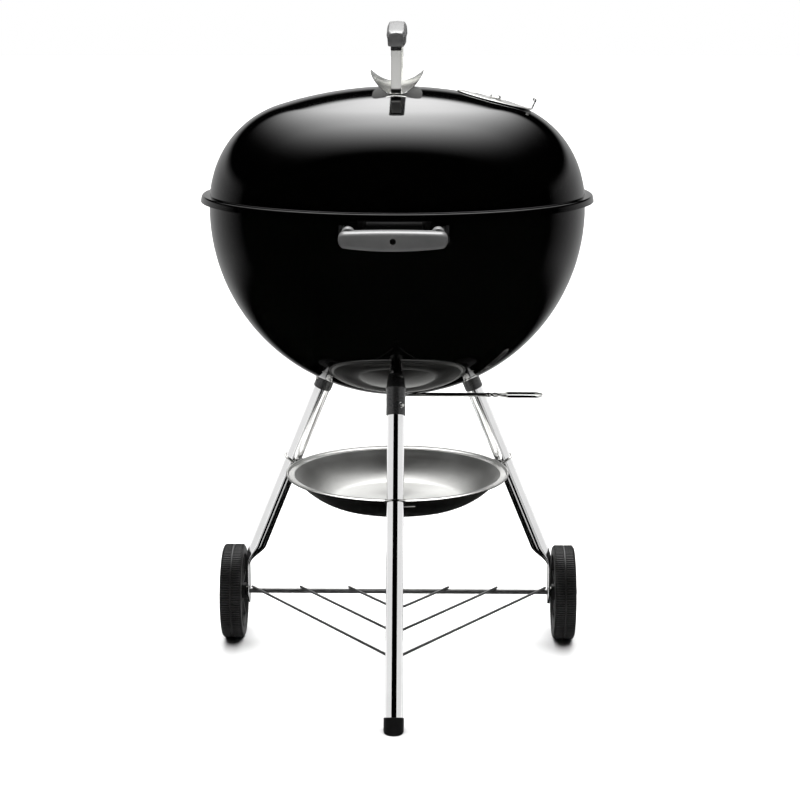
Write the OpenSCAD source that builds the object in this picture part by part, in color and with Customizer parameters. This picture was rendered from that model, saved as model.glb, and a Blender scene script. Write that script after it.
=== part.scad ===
// Kettle charcoal grill on a tripod with two wheels.
// Z is up. The origin is on the ground, under the kettle's axis.
// The front leg is at -Y, the wheels are at the rear, and the vent lever points to +X.

/* [Bowl] */
// Outer radius of the bowl
bowl_r = 282; // [280:0.5:284]
// Height of the widest part of the bowl
equator_z = 714.5; // [712:0.5:716]
// Thickness of the enamelled steel sheet
sheet = 1.6; // [1.2:0.1:2]
// Radius of the bead rolled around the bowl's mouth
bead_r = 4.4; // [4:0.1:4.6]

/* [Lid] */
// Height of the top of the lid
lid_top_z = 895.5; // [893:0.5:898]
// Radius of the lid's crown
crown_r = 590; // [570:5:610]
// Half angle that the crown spans
crown_angle = 17.5; // [16:0.5:18]
// Radius of the lid's shoulder
shoulder_r = 148; // [144:1:150]
// Angle that the shoulder turns through
shoulder_angle = 58; // [57:0.5:59]
// Radius of the lid's side, under the shoulder
side_r = 270; // [260:5:280]
// Height of the upper face of the lid's flange
flange_z = 737.4; // [736:0.2:738]
// Radius of the flange's edge
skirt_r = 293; // [292:0.5:294]
// Height of the skirt that hangs from the flange
skirt_h = 10; // [8:0.5:11]

/* [Lid handle] */
// Distance of each foot of the handle from the axis
handle_foot_y = 108; // [104:1:112]
// Width of the handle's steel strap
strap_w = 15; // [13:1:16]
// Thickness of the handle's steel strap
strap_t = 3; // [2:0.5:3]
// Height of the top of the lid handle
handle_top_z = 991; // [985:1:995]
// Width of the lid handle's grip
grip_w = 28; // [26:1:30]

/* [Lid damper] */
// Distance of the damper's pivot from the axis
damper_x = 145.5; // [142:0.5:148]
// Radius of the damper's disc
damper_r = 57.5; // [55:0.5:58]
// Distance of the air holes from the damper's pivot
damper_hole_pcr = 24; // [23:0.5:26]
// Radius of the air holes
damper_hole_r = 9.3; // [8:0.1:9.5]

/* [Legs] */
// Outer radius of a leg's tube
leg_r = 12.7; // [12:0.1:13]
// Wall of a leg's tube
leg_wall = 1.2; // [1:0.1:1.5]
// Angle between a leg and the vertical
splay = 22.65; // [22:0.05:23]
// Distance of a socket's lower end from the axis
socket_axis_r = 137.6; // [136:0.2:139]
// Height of a socket's lower end
socket_z = 423.7; // [422:0.1:425]
// Direction of each rear socket from the axis, from +X
rear_socket_az = 29.5; // [29:0.1:30]
// Direction in which each rear leg leans, from +X
rear_leg_az = 15; // [14:0.5:16]

/* [Wheels] */
// Radius of a wheel
wheel_r = 76.2; // [74:0.2:78]
// Width of a wheel
wheel_w = 34.6; // [32:0.2:36]
// Distance of a wheel's middle from the axis
wheel_x = 268; // [266:0.5:270]
// Radius of the axle
axle_r = 4; // [3.5:0.1:4.2]

/* [Ash pan] */
// Outer radius of the pan's rim
pan_r = 173; // [172:0.1:173.2]
// Height of the middle of the pan's rim
pan_z = 303.4; // [302:0.1:304]
// Radius of the pan's flat bottom
pan_flat_r = 103; // [100:1:106]
// Depth of the pan
pan_depth = 43; // [40:1:46]

/* [Vent lever] */
// Distance of the lever's end from the axis
lever_end = 224; // [218:1:228]
// Radius of the lever's rod
lever_r = 3.1; // [2.8:0.1:3.2]
// Height of the lever's rod
lever_z = 426.6; // [426:0.1:427]

/* [Grates] */
// Height of the cooking grate's ring
cook_z = 672; // [668:1:676]
// Radius of the cooking grate's ring
cook_r = 271; // [268:1:272]
// Height of the charcoal grate's cross bars
coal_z = 556; // [552:1:560]
// Radius inside which the charcoal grate's rods lie
coal_r = 216; // [210:1:218]

/* [Hidden] */

$fn = 48;
big = 1000;
gap = 0.3;                      // between pieces that move apart
seat = 0.1;                     // between pieces that rest on each other

// Lid: the profile is three arcs, each tangent to the next
crown_cz = lid_top_z - crown_r;
shoulder_cx = (crown_r - shoulder_r) * sin(crown_angle);
shoulder_cz = crown_cz + (crown_r - shoulder_r) * cos(crown_angle);
side_start = crown_angle + shoulder_angle;
side_cx = shoulder_cx - (side_r - shoulder_r) * sin(side_start);
side_cz = shoulder_cz - (side_r - shoulder_r) * cos(side_start);
side_end = acos((flange_z - side_cz) / side_r);
skirt_flare = 2;
bead_x = bowl_r - sheet + bead_r;
bead_z = flange_z - sheet - gap - bead_r;

// Lid damper: a disc that follows the crown, turning on the crown's own normal
damper_tilt = asin(damper_x / crown_r);
damper_t = 1.2;
rivet_r = 3;
tab_w = 24;
tab_h = 15;
damper_holes = 4;

// Lid handle: the strap's feet slope down outward, over the ends of the heat shield
shield_t = 1;
shield_half_w = 39;
shield_dip_r = 54;              // bend across the shield
shield_arch_r = 330;            // bend along the shield
shield_mid_z = 902.5;           // height of the middle of the shield's lower face
shield_tip_w = 9;               // half width at each end
shield_end_y = 97;
shield_rise = shield_dip_r - sqrt(pow(shield_dip_r, 2) - pow(strap_w / 2, 2));
foot_in_y = 84;
foot_in_z = shield_height(foot_in_y) + shield_t + shield_rise + 2 * gap;
foot_out_z = crown_height(handle_foot_y) + 2 * gap;
foot_tilt = atan2(foot_in_z - foot_out_z, handle_foot_y - foot_in_y);
handle_bolt_y = 92;
handle_bolt_r = 2.9;
handle_bolt_reach = 5.6;        // from the foot's lower face to the bolt's head, inside the lid
riser_top_y = 86;
riser_top_z = 962;
grip_end_y = 92;
grip_end_z = 956;
grip_h = 22;
grip_arch = handle_top_z - grip_end_z - grip_h;
grip_arc_r = (grip_end_y * grip_end_y + grip_arch * grip_arch) / (2 * grip_arch);
grip_screw_y = 45;

// Legs: the socket's lower end is the origin of each leg's own frame,
// with Z up along the leg and X outward
socket_inner_r = leg_r + seat;
socket_outer_r = socket_inner_r + 1.4;
socket_top = 60;                // long enough to reach into the bowl before it is trimmed
leg_top = 36;
foot_reach = socket_z / cos(splay);
cap_wall = 1.9;
cap_h = 21;
flat_z = 150;                   // height at which a rear leg starts to flatten
flat_len = (socket_z - flat_z) / cos(splay);
plate_t = 4.2;
plate_x = 244.3;
plate_top_z = 120;
plate_half_w = 19;
rear_socket_y = socket_axis_r * sin(rear_socket_az);
axle_z = wheel_r;
axle_y = rear_socket_y + (socket_z - axle_z) * tan(splay) * sin(rear_leg_az);
rack_wire_r = 2;
rack_slope = 2;                 // the rack rises a little towards the front leg

// Snap buttons
button_r = 3.5;
button_up = 14;                 // above the socket's lower end
button_turn = 40;               // from the leg's outward side
button_travel = 4.5;
spring_w = 7;
spring_t = 0.8;
spring_len = 38;

// Wheels
hub_r = 13;
axle_end = wheel_x + wheel_w / 2 + 3;
washer_t = 1.2;
hub_in = plate_x + plate_t / 2 + washer_t + 3 * seat;
cap_bore = 3.2;                 // 0.5 deeper than the axle reaches into its caps

// Ash pan
pan_sheet = 1.2;
pan_bead_r = 2;
pan_step_r = 159;
pan_step_z = pan_z - 1.6;
pan_floor_z = pan_z - pan_depth;
clip_r = 1.5;
clip_loop_r = leg_r + clip_r + seat;
clip_z = pan_z + 3.1;
clip_tip_z = pan_step_z - pan_sheet - clip_r - seat;

// Vents and sweeper
vent_az = 50;                   // first group of vents, from +X
vent_slot_w = 11;
vent_slot_in = 64;
vent_slot_out = 92;
vent_step = 13;                 // between neighbouring slots of a group
blade_az = 30;                  // first blade at rest
blade_half = 20;
blade_out = 104;
blade_t = 1.2;
bowl_in_r = bowl_r - sheet;
blade_r = bowl_in_r - gap;
shaft_r = 5;
shaft_bore_r = 5.06;
loop_len = 68;
loop_half_w = 12.5;
loop_wire_r = 2.2;

// Grates
rod_r = 2.2;
cook_rods = 23;
cook_pitch = 22;
cook_cross_y = 95;              // cross rods, clear of the brackets
coal_rods = 13;
coal_pitch = 31;
tab_t = 2;

// Bowl handles
hold_y = 348;                   // front face of the grip
hold_z = 707;
hold_w = 147;
hold_h = 28;
hold_t = 24;
bracket_t = 3;
bracket_x = 66;
bracket_h = 22;
screw_hole_r = 4.2;

// ---------- shared shapes ----------

// A round bar between two points
module rod(a, b, r) {
    d = b - a;
    translate(a)
        rotate([0, acos(d[2] / norm(d)), atan2(d[1], d[0])])
            cylinder(r = r, h = norm(d), $fn = 24);
}

// A rounded joint where bars of radius r meet; a little larger, so that it closes the joint
module joint(a, r) {
    translate(a) sphere(r = r + 0.08, $fn = 24);
}

// A wedge of the XY plane, from angle a to angle b, with its point at the origin
module wedge(a, b, reach) {
    m = (a + b) / 2;
    polygon([
        [0, 0],
        reach * [cos(a), sin(a)],
        1.5 * reach * [cos(m), sin(m)],
        reach * [cos(b), sin(b)]
    ]);
}

// A bent strip: part of a ring of outer radius r and thickness t around c
module arc_strip(c, r, t, a, b, fine = 180) {
    translate(c)
        intersection() {
            difference() {
                circle(r = r, $fn = fine);
                circle(r = r - t, $fn = fine);
            }
            wedge(a, b, 1.3 * r);
        }
}

// Copies its children to the front and to the rear
module front_and_rear() {
    for (side = [0, 180])
        rotate([0, 0, side])
            children();
}

// The frame of one leg: 0 is the front leg, 1 the right one, 2 the left one
module at_leg(i) {
    azimuth = [-90, rear_socket_az, 180 - rear_socket_az][i];
    heading = [-90, rear_leg_az, 180 - rear_leg_az][i];
    translate([socket_axis_r * cos(azimuth), socket_axis_r * sin(azimuth), socket_z])
        rotate([0, -splay, heading])
            children();
}

// The frame of a leg's snap button: X points out through the button
module at_button(i) {
    at_leg(i)
        translate([0, 0, button_up])
            rotate([0, 0, button_turn])
                children();
}

// The frame of the lid damper: Z is the pivot, and the origin is the crown's centre
module at_damper() {
    translate([0, 0, crown_cz])
        rotate([0, damper_tilt, 0])
            children();
}

module damper_air_holes(r) {
    for (i = [0 : damper_holes - 1])
        rotate([0, 0, i * 360 / damper_holes])
            translate([damper_hole_pcr, 0, crown_r - 20])
                cylinder(r = r, h = 40);
}

// ---------- lid ----------

// Points of an arc around c, from angle a to angle b
function arc_points(c, r, a, b, steps) =
    [for (i = [0 : steps]) c + r * [cos(a + (b - a) * i / steps), sin(a + (b - a) * i / steps)]];

// The lid's curve at a depth below its outer face: side, shoulder, crown
function lid_curve(depth) = concat(
    arc_points([side_cx, side_cz], side_r - depth, 90 - side_end, 90 - side_start, 5),
    arc_points([shoulder_cx, shoulder_cz], shoulder_r - depth, 90 - side_start, 90 - crown_angle, 24),
    arc_points([0, crown_cz], crown_r - depth, 90 - crown_angle, 90, 8)
);

function reversed(list) = [for (i = [len(list) - 1 : -1 : 0]) list[i]];

// One closed outline: the outer face, the flange, the skirt, and back along the inner face
module lid_profile() {
    inner = lid_curve(sheet);
    polygon(concat(
        reversed(lid_curve(0)),
        [
            [skirt_r, flange_z],
            [skirt_r + skirt_flare, flange_z - skirt_h],
            [skirt_r + skirt_flare - sheet, flange_z - skirt_h],
            [skirt_r - sheet, flange_z - sheet],
            [inner[0][0], flange_z - sheet]
        ],
        inner
    ));
}

module lid_shell() {
    color("#0c0c0e")
        difference() {
            rotate_extrude($fn = 144) lid_profile();
            at_damper() {
                damper_air_holes(damper_hole_r);
                translate([0, 0, crown_r - 20]) cylinder(r = rivet_r + seat, h = 40);
            }
            handle_bolt_holes();
        }
}

// Height of the lid's outer face at distance y from the axis
function crown_height(y) = crown_cz + sqrt(crown_r * crown_r - y * y);

// Height of the shield's lower face at distance y from the axis
function shield_height(y) =
    shield_mid_z - shield_arch_r + sqrt(shield_arch_r * shield_arch_r - y * y);

// Height of the lower face of a foot at distance y from the axis
function foot_height(y) = foot_out_z + (handle_foot_y - y) * tan(foot_tilt);

// The frame of each handle bolt: Z is the foot's normal, from the foot's lower face
module at_handle_bolts() {
    front_and_rear()
        translate([0, handle_bolt_y, foot_height(handle_bolt_y)])
            rotate([-foot_tilt, 0, 0])
                children();
}

module handle_bolt_holes() {
    at_handle_bolts()
        cylinder(r = handle_bolt_r + seat, h = 24, center = true);
}

module handle_side_line(t) {
    // Side view of the strap, as YZ points seen along X
    heel_y = handle_foot_y - t - 1;
    thick = t / cos(foot_tilt);
    polygon([
        [foot_in_y, foot_in_z],
        [handle_foot_y, foot_out_z],
        [riser_top_y, riser_top_z],
        [riser_top_y - 12, riser_top_z],
        [riser_top_y - 12, riser_top_z - t],
        [riser_top_y - t, riser_top_z - t],
        [heel_y, foot_height(heel_y) + thick],
        [foot_in_y, foot_in_z + thick]
    ]);
}

// Turns a drawing of the YZ plane into a plate of width w across X
module side_plate(w) {
    translate([-w / 2, 0, 0])
        rotate([90, 0, 90])
            linear_extrude(w) children();
}

module lid_handle_strap() {
    color("silver")
        difference() {
            union() {
                front_and_rear()
                    side_plate(strap_w) handle_side_line(strap_t);
                side_plate(strap_w)
                    translate([-riser_top_y + 11, riser_top_z - strap_t])
                        square([2 * riser_top_y - 22, strap_t]);
            }
            handle_bolt_holes();
            front_and_rear()
                translate([0, grip_screw_y, riser_top_z - 10])
                    cylinder(r = 2.1, h = 20);
        }
}

// The grip is an arch over the strap, open underneath where the strap lies
module lid_handle_grip() {
    color("#77787a")
        difference() {
            intersection() {
                side_plate(grip_w)
                    difference() {
                        translate([0, handle_top_z - grip_arc_r]) circle(r = grip_arc_r, $fn = 180);
                        translate([-big / 2, grip_end_z - big]) square(big);
                    }
                translate([0, 0, handle_top_z - grip_w * 0.9])
                    rotate([90, 0, 0])
                        cylinder(r = grip_w * 0.9, h = 2 * grip_end_y, center = true, $fn = 96);
            }
            translate([-(strap_w / 2 + seat), -riser_top_y - 4, grip_end_z - 1])
                cube([strap_w + 2 * seat, 2 * riser_top_y + 8, riser_top_z + seat - grip_end_z + 1]);
            front_and_rear()
                translate([0, grip_screw_y, riser_top_z - 1])
                    cylinder(r = 1.8, h = 12);
        }
}

// Black ferrules close the slots where the strap enters the grip
module lid_handle_collars() {
    color("#151515")
        front_and_rear()
            difference() {
                translate([-strap_w / 2 - 0.4, riser_top_y - 4, grip_end_z - 5])
                    cube([strap_w + 0.8, 8.5, 4.9]);
                side_plate(strap_w + 0.02)
                    offset(delta = 0.08) handle_side_line(strap_t);
            }
}

module lid_handle_screws() {
    color("silver")
        front_and_rear()
            translate([0, grip_screw_y, riser_top_z - strap_t]) {
                translate([0, 0, -1]) cylinder(r = 1.75, h = 14.5);
                translate([0, 0, -2 - seat]) cylinder(r = 3.6, h = 2 + seat / 2);
            }
}

// The heat shield: bent up at its sides and down at its ends
module lid_heat_shield() {
    color("silver")
        intersection() {
            translate([0, 0, shield_mid_z - shield_arch_r])
                rotate([0, 90, 0])
                    rotate([0, 0, 180 - 20])
                        rotate_extrude(angle = 40, $fn = 256)
                            translate([shield_arch_r + shield_dip_r, 0])
                                intersection() {
                                    difference() {
                                        circle(r = shield_dip_r, $fn = 180);
                                        circle(r = shield_dip_r - shield_t, $fn = 180);
                                    }
                                    wedge(180 - 50, 180 + 50, 100);
                                }
            difference() {
                translate([0, 0, lid_top_z - 60]) linear_extrude(120) shield_outline();
                handle_bolt_holes();
            }
        }
}

// Half width of the shield at distance y from its middle
function shield_half(y) = shield_tip_w
    + (shield_half_w - shield_tip_w) * pow(1 - pow(abs(y) / shield_end_y, 3), 0.7);

// Leaf outline: wide in the middle and narrow at both ends
module shield_outline() {
    steps = 12;
    edge = [for (i = [-steps : steps]) [shield_half(i / steps * shield_end_y), i / steps * shield_end_y]];
    polygon(concat(edge, [for (p = reversed(edge)) [-p[0], p[1]]]));
}

module lid_handle_bolts() {
    color("silver")
        at_handle_bolts()
            translate([0, 0, -handle_bolt_reach]) {
                translate([0, 0, -1])
                    cylinder(r = handle_bolt_r, h = handle_bolt_reach + strap_t + 7);
                translate([0, 0, -4]) cylinder(r = 5.6, h = 4, $fn = 6);
            }
}

module lid_handle_nuts() {
    color("silver")
        at_handle_bolts()
            translate([0, 0, strap_t + seat])
                difference() {
                    cylinder(r = 5.6, h = 4.5, $fn = 6);
                    translate([0, 0, -1]) cylinder(r = handle_bolt_r + 0.05, h = 7);
                }
}

// The damper: a dished disc with air holes, a raised boss and a turned-up tab
module lid_damper() {
    disc_in = crown_r + gap;
    disc_out = disc_in + damper_t;
    color("#b9bcbe")
        at_damper() {
            difference() {
                rotate_extrude($fn = 144)
                    intersection() {
                        arc_strip([0, 0], disc_out, damper_t, 80, 90, 256);
                        translate([0, crown_r - 20]) square([damper_r, 40]);
                    }
                damper_air_holes(damper_hole_r);
                translate([0, 0, crown_r - 20]) cylinder(r = rivet_r + 0.05, h = 40);
            }
            translate([damper_r - 1.2, -tab_w / 2, disc_out - 4])
                rotate([0, damper_tilt - 4, 0]) {
                    cube([1.2, tab_w, tab_h]);
                    translate([0.6, 0, tab_h + 1.6])
                        rotate([-90, 0, 0])
                            difference() {
                                cylinder(r = 2.4, h = tab_w);
                                translate([0, 0, -1]) cylinder(r = 1.3, h = tab_w + 2);
                            }
                }
        }
}

module lid_damper_rivet() {
    color("#c8cacc")
        at_damper() {
            translate([0, 0, crown_r - sheet - 2]) cylinder(r = rivet_r, h = sheet + 6);
            translate([0, 0, crown_r - sheet - 2.4]) cylinder(r = 6, h = 2);
            translate([0, 0, crown_r + gap + damper_t + seat])
                intersection() {
                    translate([0, 0, 3.2 - 13]) sphere(r = 13, $fn = 64);
                    cylinder(r = 8.4, h = 10);
                }
        }
}

// ---------- bowl ----------

module bowl_profile() {
    arc_strip([0, equator_z], bowl_r, sheet, -90, 0, 256);
    translate([bowl_r - sheet, equator_z]) square([sheet, bead_z - equator_z]);
    translate([bead_x, bead_z])
        difference() {
            circle(r = bead_r);
            circle(r = bead_r - sheet);
        }
}

// Three groups of slots, swept by the blades
module vent_slots() {
    for (group = [0 : 2], slot = [-1 : 1])
        rotate([0, 0, vent_az + group * 120 + slot * vent_step]) {
            translate([vent_slot_in, -vent_slot_w / 2, equator_z - bowl_r - 10])
                cube([vent_slot_out - vent_slot_in, vent_slot_w, 60]);
            for (end = [vent_slot_in, vent_slot_out])
                translate([end, 0, equator_z - bowl_r - 10])
                    cylinder(r = vent_slot_w / 2, h = 60);
        }
}

module bowl_shell() {
    color("#0c0c0e")
        difference() {
            rotate_extrude($fn = 144) bowl_profile();
            vent_slots();
            translate([0, 0, equator_z - bowl_r - 10]) cylinder(r = shaft_bore_r, h = 20);
        }
}

// The plan of a bowl handle's steel bracket, drawn at the front
module bracket_plan() {
    back_y = hold_y - hold_t + 8;
    wall_y = sqrt(bowl_r * bowl_r - bracket_x * bracket_x) - 2;
    difference() {
        translate([-bracket_x, -back_y]) square([2 * bracket_x, back_y - wall_y]);
        translate([-bracket_x + bracket_t, -back_y + bracket_t])
            square([2 * (bracket_x - bracket_t), back_y - wall_y]);
    }
    for (side = [-1, 1])
        translate([side * (bracket_x + 3) - 6, -wall_y - 2]) square([12, 8]);
}

module handle_bracket() {
    difference() {
        translate([0, 0, hold_z - bracket_h / 2]) linear_extrude(bracket_h) bracket_plan();
        translate([0, 0, equator_z]) sphere(r = bowl_r + seat, $fn = 180);
        translate([0, -hold_y + 30, hold_z]) rotate([90, 0, 0]) cylinder(r = 3.1, h = 30);
    }
}

// Front view of a bowl handle's grip: round ends and a full lower edge
module grip_outline() {
    sag_r = 520;
    end_r = 12;
    intersection() {
        union() {
            square([hold_w - 2 * end_r, hold_h], center = true);
            for (side = [-1, 1])
                translate([side * (hold_w / 2 - end_r), 0]) circle(r = end_r);
            square([hold_w, hold_h - 2 * end_r], center = true);
        }
        translate([0, sag_r - hold_h / 2]) circle(r = sag_r, $fn = 256);
        square([hold_w, hold_h], center = true);
    }
}

module handle_grip() {
    back_y = hold_y - hold_t + 8;
    difference() {
        union() {
            translate([0, -hold_y + hold_t, hold_z])
                rotate([90, 0, 0]) linear_extrude(hold_t) grip_outline();
            for (side = [-1, 1])
                translate([side * (hold_w / 2 - 13), -hold_y + hold_t - 1, hold_z + 9.5])
                    rotate([-90, 0, 0]) cylinder(r = 9, h = 7);
        }
        translate([-bracket_x - seat, -back_y - seat, hold_z - bracket_h / 2 - seat])
            cube([2 * (bracket_x + seat), 60, bracket_h + 2 * seat]);
        translate([0, -hold_y - 1, hold_z]) rotate([-90, 0, 0]) cylinder(r = screw_hole_r, h = 9);
        translate([0, -hold_y - 1, hold_z]) rotate([-90, 0, 0]) cylinder(r = 3.1, h = 40);
    }
}

module handle_screw() {
    translate([0, -hold_y + 4, hold_z]) rotate([-90, 0, 0]) {
        cylinder(r = 3, h = 26);
        difference() {
            cylinder(r = screw_hole_r - 0.1, h = 3.9);
            translate([0, 0, -1]) cylinder(r = 2, h = 3, $fn = 6);
        }
    }
}

module front_handle_bracket() {
    color("#141416") handle_bracket();
}

module front_handle_grip() {
    color("#6a6b6d") handle_grip();
}

module front_handle_screw() {
    color("#303032") handle_screw();
}

module rear_handle_bracket() {
    color("#141416") rotate([0, 0, 180]) handle_bracket();
}

module rear_handle_grip() {
    color("#6a6b6d") rotate([0, 0, 180]) handle_grip();
}

module rear_handle_screw() {
    color("#303032") rotate([0, 0, 180]) handle_screw();
}

// ---------- legs ----------

module leg_socket(i) {
    color("#101012")
        difference() {
            at_leg(i)
                difference() {
                    cylinder(r = socket_outer_r, h = socket_top);
                    translate([0, 0, -1]) cylinder(r = socket_inner_r, h = socket_top + 2);
                }
            translate([0, 0, equator_z]) sphere(r = bowl_r + 0.02, $fn = 180);
            at_button(i) rotate([0, 90, 0]) cylinder(r = button_r + 1, h = 30);
        }
}

module front_leg_socket() leg_socket(0);
module right_leg_socket() leg_socket(1);
module left_leg_socket() leg_socket(2);

module button_bore(i) {
    at_button(i)
        rotate([0, 90, 0]) cylinder(r = button_r + 0.05, h = 30);
}

module front_leg() {
    color("#d8dadc")
        difference() {
            at_leg(0)
                translate([0, 0, -foot_reach + 10.5])
                    difference() {
                        cylinder(r = leg_r, h = foot_reach + leg_top - 10.5);
                        translate([0, 0, -1]) cylinder(r = leg_r - leg_wall, h = 2 * big);
                    }
            button_bore(0);
            translate([0, 0, rack_hook_z()])
                rotate([90, 0, 0])
                    cylinder(r = rack_wire_r + 0.2, h = big);
        }
}

// A rear leg: a tube whose lower end is flattened into an upright plate for the axle
module rear_leg(i) {
    side = i == 1 ? 1 : -1;
    color("#d8dadc")
        difference() {
            union() {
                at_leg(i)
                    translate([0, 0, 1 - flat_len])
                        difference() {
                            cylinder(r = leg_r, h = flat_len + leg_top - 1);
                            translate([0, 0, 3]) cylinder(r = leg_r - leg_wall, h = 2 * big);
                        }
                hull() {
                    at_leg(i)
                        translate([0, 0, -flat_len]) cylinder(r = leg_r + 0.15, h = 3, $fn = 32);
                    translate([side * plate_x, axle_y, plate_top_z + 2])
                        cube([plate_t - seat, 2 * plate_half_w - seat, 4], center = true);
                }
                translate([side * plate_x - plate_t / 2, axle_y - plate_half_w, axle_z])
                    cube([plate_t, 2 * plate_half_w, plate_top_z - axle_z + 1]);
                translate([side * plate_x - plate_t / 2, axle_y, axle_z])
                    rotate([0, 90, 0]) cylinder(r = plate_half_w, h = plate_t);
            }
            button_bore(i);
            translate([side * plate_x, axle_y, axle_z])
                rotate([0, 90, 0]) cylinder(r = axle_r + 0.05, h = 20, center = true);
        }
}

module right_leg() rear_leg(1);
module left_leg() rear_leg(2);

// A plastic cap on the front leg, cut level where it stands on the ground
module front_foot_cap() {
    color("#17171a")
        intersection() {
            at_leg(0)
                translate([0, 0, -foot_reach - 20])
                    difference() {
                        cylinder(r = leg_r + cap_wall, h = cap_h + 20);
                        translate([0, 0, 30]) cylinder(r = leg_r + 0.05, h = 60);
                    }
            translate([-big, -big, 0]) cube(2 * big);
        }
}

// A pin with a leaf inside the leg; the whole piece goes in when it is pressed
module snap_button(i) {
    color("#c9cbcd")
        at_button(i) {
            rotate([0, 90, 0]) translate([0, 0, 8.6]) rotate_extrude() button_profile();
            translate([8.6, -spring_w / 2, -spring_len]) cube([spring_t, spring_w, spring_len - 3]);
        }
}

// Half of the button's outline: a flange inside the leg, the pin and its domed end
module button_profile() {
    dome_r = 6;
    pin = 8.4;
    square([button_r + 0.8, 1]);
    intersection() {
        square([button_r, pin]);
        translate([0, pin - dome_r]) circle(r = dome_r, $fn = 64);
    }
}

module front_snap_button() snap_button(0);
module right_snap_button() snap_button(1);
module left_snap_button() snap_button(2);

// The other half of the spring: a leaf on the far wall of the leg and a bend below
module button_spring(i) {
    bend_r = 9.6;
    color("#9a9c9e")
        at_button(i)
            translate([0, 0, -spring_len - 6]) {
                translate([-bend_r, -spring_w / 2, 0]) cube([spring_t, spring_w, spring_len]);
                rotate([90, 0, 0])
                    translate([0, 0, -spring_w / 2])
                        linear_extrude(spring_w)
                            arc_strip([0, 0], bend_r, spring_t, -180, 0, 64);
            }
}

module front_button_spring() button_spring(0);
module right_button_spring() button_spring(1);
module left_button_spring() button_spring(2);

// ---------- ash pan ----------

module pan_profile() {
    // The wall is an arc that runs from the flat bottom to the step under the rim
    run = pan_step_r - pan_flat_r;
    rise = pan_step_z - pan_floor_z;
    wall_r = 115;
    half = norm([run, rise]) / 2;
    lean = atan2(rise, run);
    spread = asin(half / wall_r);
    centre = [pan_flat_r, pan_floor_z] + wall_r * [-sin(lean - spread), cos(lean - spread)];
    translate([0, pan_floor_z - pan_sheet]) square([pan_flat_r, pan_sheet]);
    arc_strip(centre, wall_r + pan_sheet, pan_sheet,
        -90 + lean - spread - 0.3, -90 + lean + spread + 0.3);
    translate([pan_step_r - 0.5, pan_step_z - pan_sheet])
        square([pan_r - pan_bead_r - pan_step_r + 0.5, pan_sheet]);
    translate([pan_r - pan_bead_r, pan_z]) circle(r = pan_bead_r, $fn = 32);
}

module ash_pan() {
    slot_w = 29;
    slot_h = 2.4;
    slot_z = pan_z - 17;
    color("#a9abac")
        difference() {
            rotate_extrude($fn = 144) pan_profile();
            translate([0, -pan_r, slot_z]) cube([slot_w, 60, slot_h]);
        }
}

// A spring wire round the leg, whose two ends reach under the pan's rim
module pan_clip(i) {
    azimuth = [-90, pan_contact_az(), 180 - pan_contact_az()][i];
    drop = (socket_z - clip_z) / cos(splay);
    color("#8d8f90") {
        at_leg(i)
            translate([0, 0, -drop])
                rotate([0, 0, azimuth - [-90, rear_leg_az, 180 - rear_leg_az][i]])
                    rotate([0, 0, -90])
                        rotate_extrude(angle = 180, $fn = 64)
                            translate([clip_loop_r, 0]) circle(r = clip_r, $fn = 24);
        at_clip(i)
            for (side = [-1, 1]) {
                top = [0, side * clip_loop_r, 0];
                knee = [-11, side * clip_loop_r, clip_tip_z - clip_z];
                rod(top, knee, clip_r);
                rod(knee, knee - [14, 0, 0], clip_r);
                joint(top, clip_r);
                joint(knee, clip_r);
            }
    }
}

// Where the leg's axis passes the clip, with X pointing away from the kettle's axis
module at_clip(i) {
    p = leg_point(i, clip_z);
    translate([p[0], p[1], clip_z])
        rotate([0, 0, atan2(p[1], p[0])])
            children();
}

// The point of leg i's axis at height z
function leg_point(i, z) =
    let (azimuth = [-90, rear_socket_az, 180 - rear_socket_az][i],
         heading = [-90, rear_leg_az, 180 - rear_leg_az][i],
         out = (socket_z - z) * tan(splay))
    [socket_axis_r * cos(azimuth) + out * cos(heading),
     socket_axis_r * sin(azimuth) + out * sin(heading)];

function pan_contact_az() = atan2(leg_point(1, clip_z)[1], leg_point(1, clip_z)[0]);

module front_pan_clip() pan_clip(0);
module right_pan_clip() pan_clip(1);
module left_pan_clip() pan_clip(2);

// ---------- axle, wheels and rack ----------

module axle() {
    color("#8f9193")
        translate([0, axle_y, axle_z])
            rotate([0, 90, 0]) cylinder(r = axle_r, h = 2 * axle_end, center = true);
}

module axle_washers() {
    color("#b5b7b9")
        for (side = [-1, 1])
            translate([side * (hub_in - seat - washer_t / 2), axle_y, axle_z])
                rotate([0, 90, 0])
                    difference() {
                        cylinder(r = 9, h = washer_t, center = true);
                        cylinder(r = axle_r + 0.05, h = 10, center = true);
                    }
}

// The frame of a wheel: Z points outward along the axle, from the wheel's inner face
module at_wheel(side) {
    translate([side * (wheel_x - wheel_w / 2), axle_y, axle_z])
        rotate([0, side * 90, 0])
            children();
}

module wheel(side) {
    rim_in = 60;
    web_t = 5;
    edge = 3;
    spokes = 10;
    color("#18181a")
        at_wheel(side) {
            difference() {
                union() {
                    rotate_extrude($fn = 144) {
                        difference() {
                            translate([rim_in, 0]) square([wheel_r - rim_in, wheel_w]);
                            for (face = [0, 1])
                                translate([wheel_r, face * wheel_w])
                                    rotate([0, 0, 45]) square(edge * sqrt(2), center = true);
                        }
                        translate([hub_r - 2, (wheel_w - web_t) / 2])
                            square([rim_in - hub_r + 4, web_t]);
                    }
                    translate([0, 0, hub_in - wheel_x + wheel_w / 2])
                        cylinder(r = hub_r, h = wheel_x + wheel_w / 2 - hub_in);
                    for (i = [0 : spokes - 1])
                        rotate([0, 0, i * 360 / spokes])
                            translate([hub_r - 2, -1.5, 5])
                                cube([rim_in - hub_r + 3, 3, wheel_w - 10]);
                }
                translate([0, 0, -20]) cylinder(r = axle_r + 0.06, h = 80);
            }
        }
}

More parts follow.
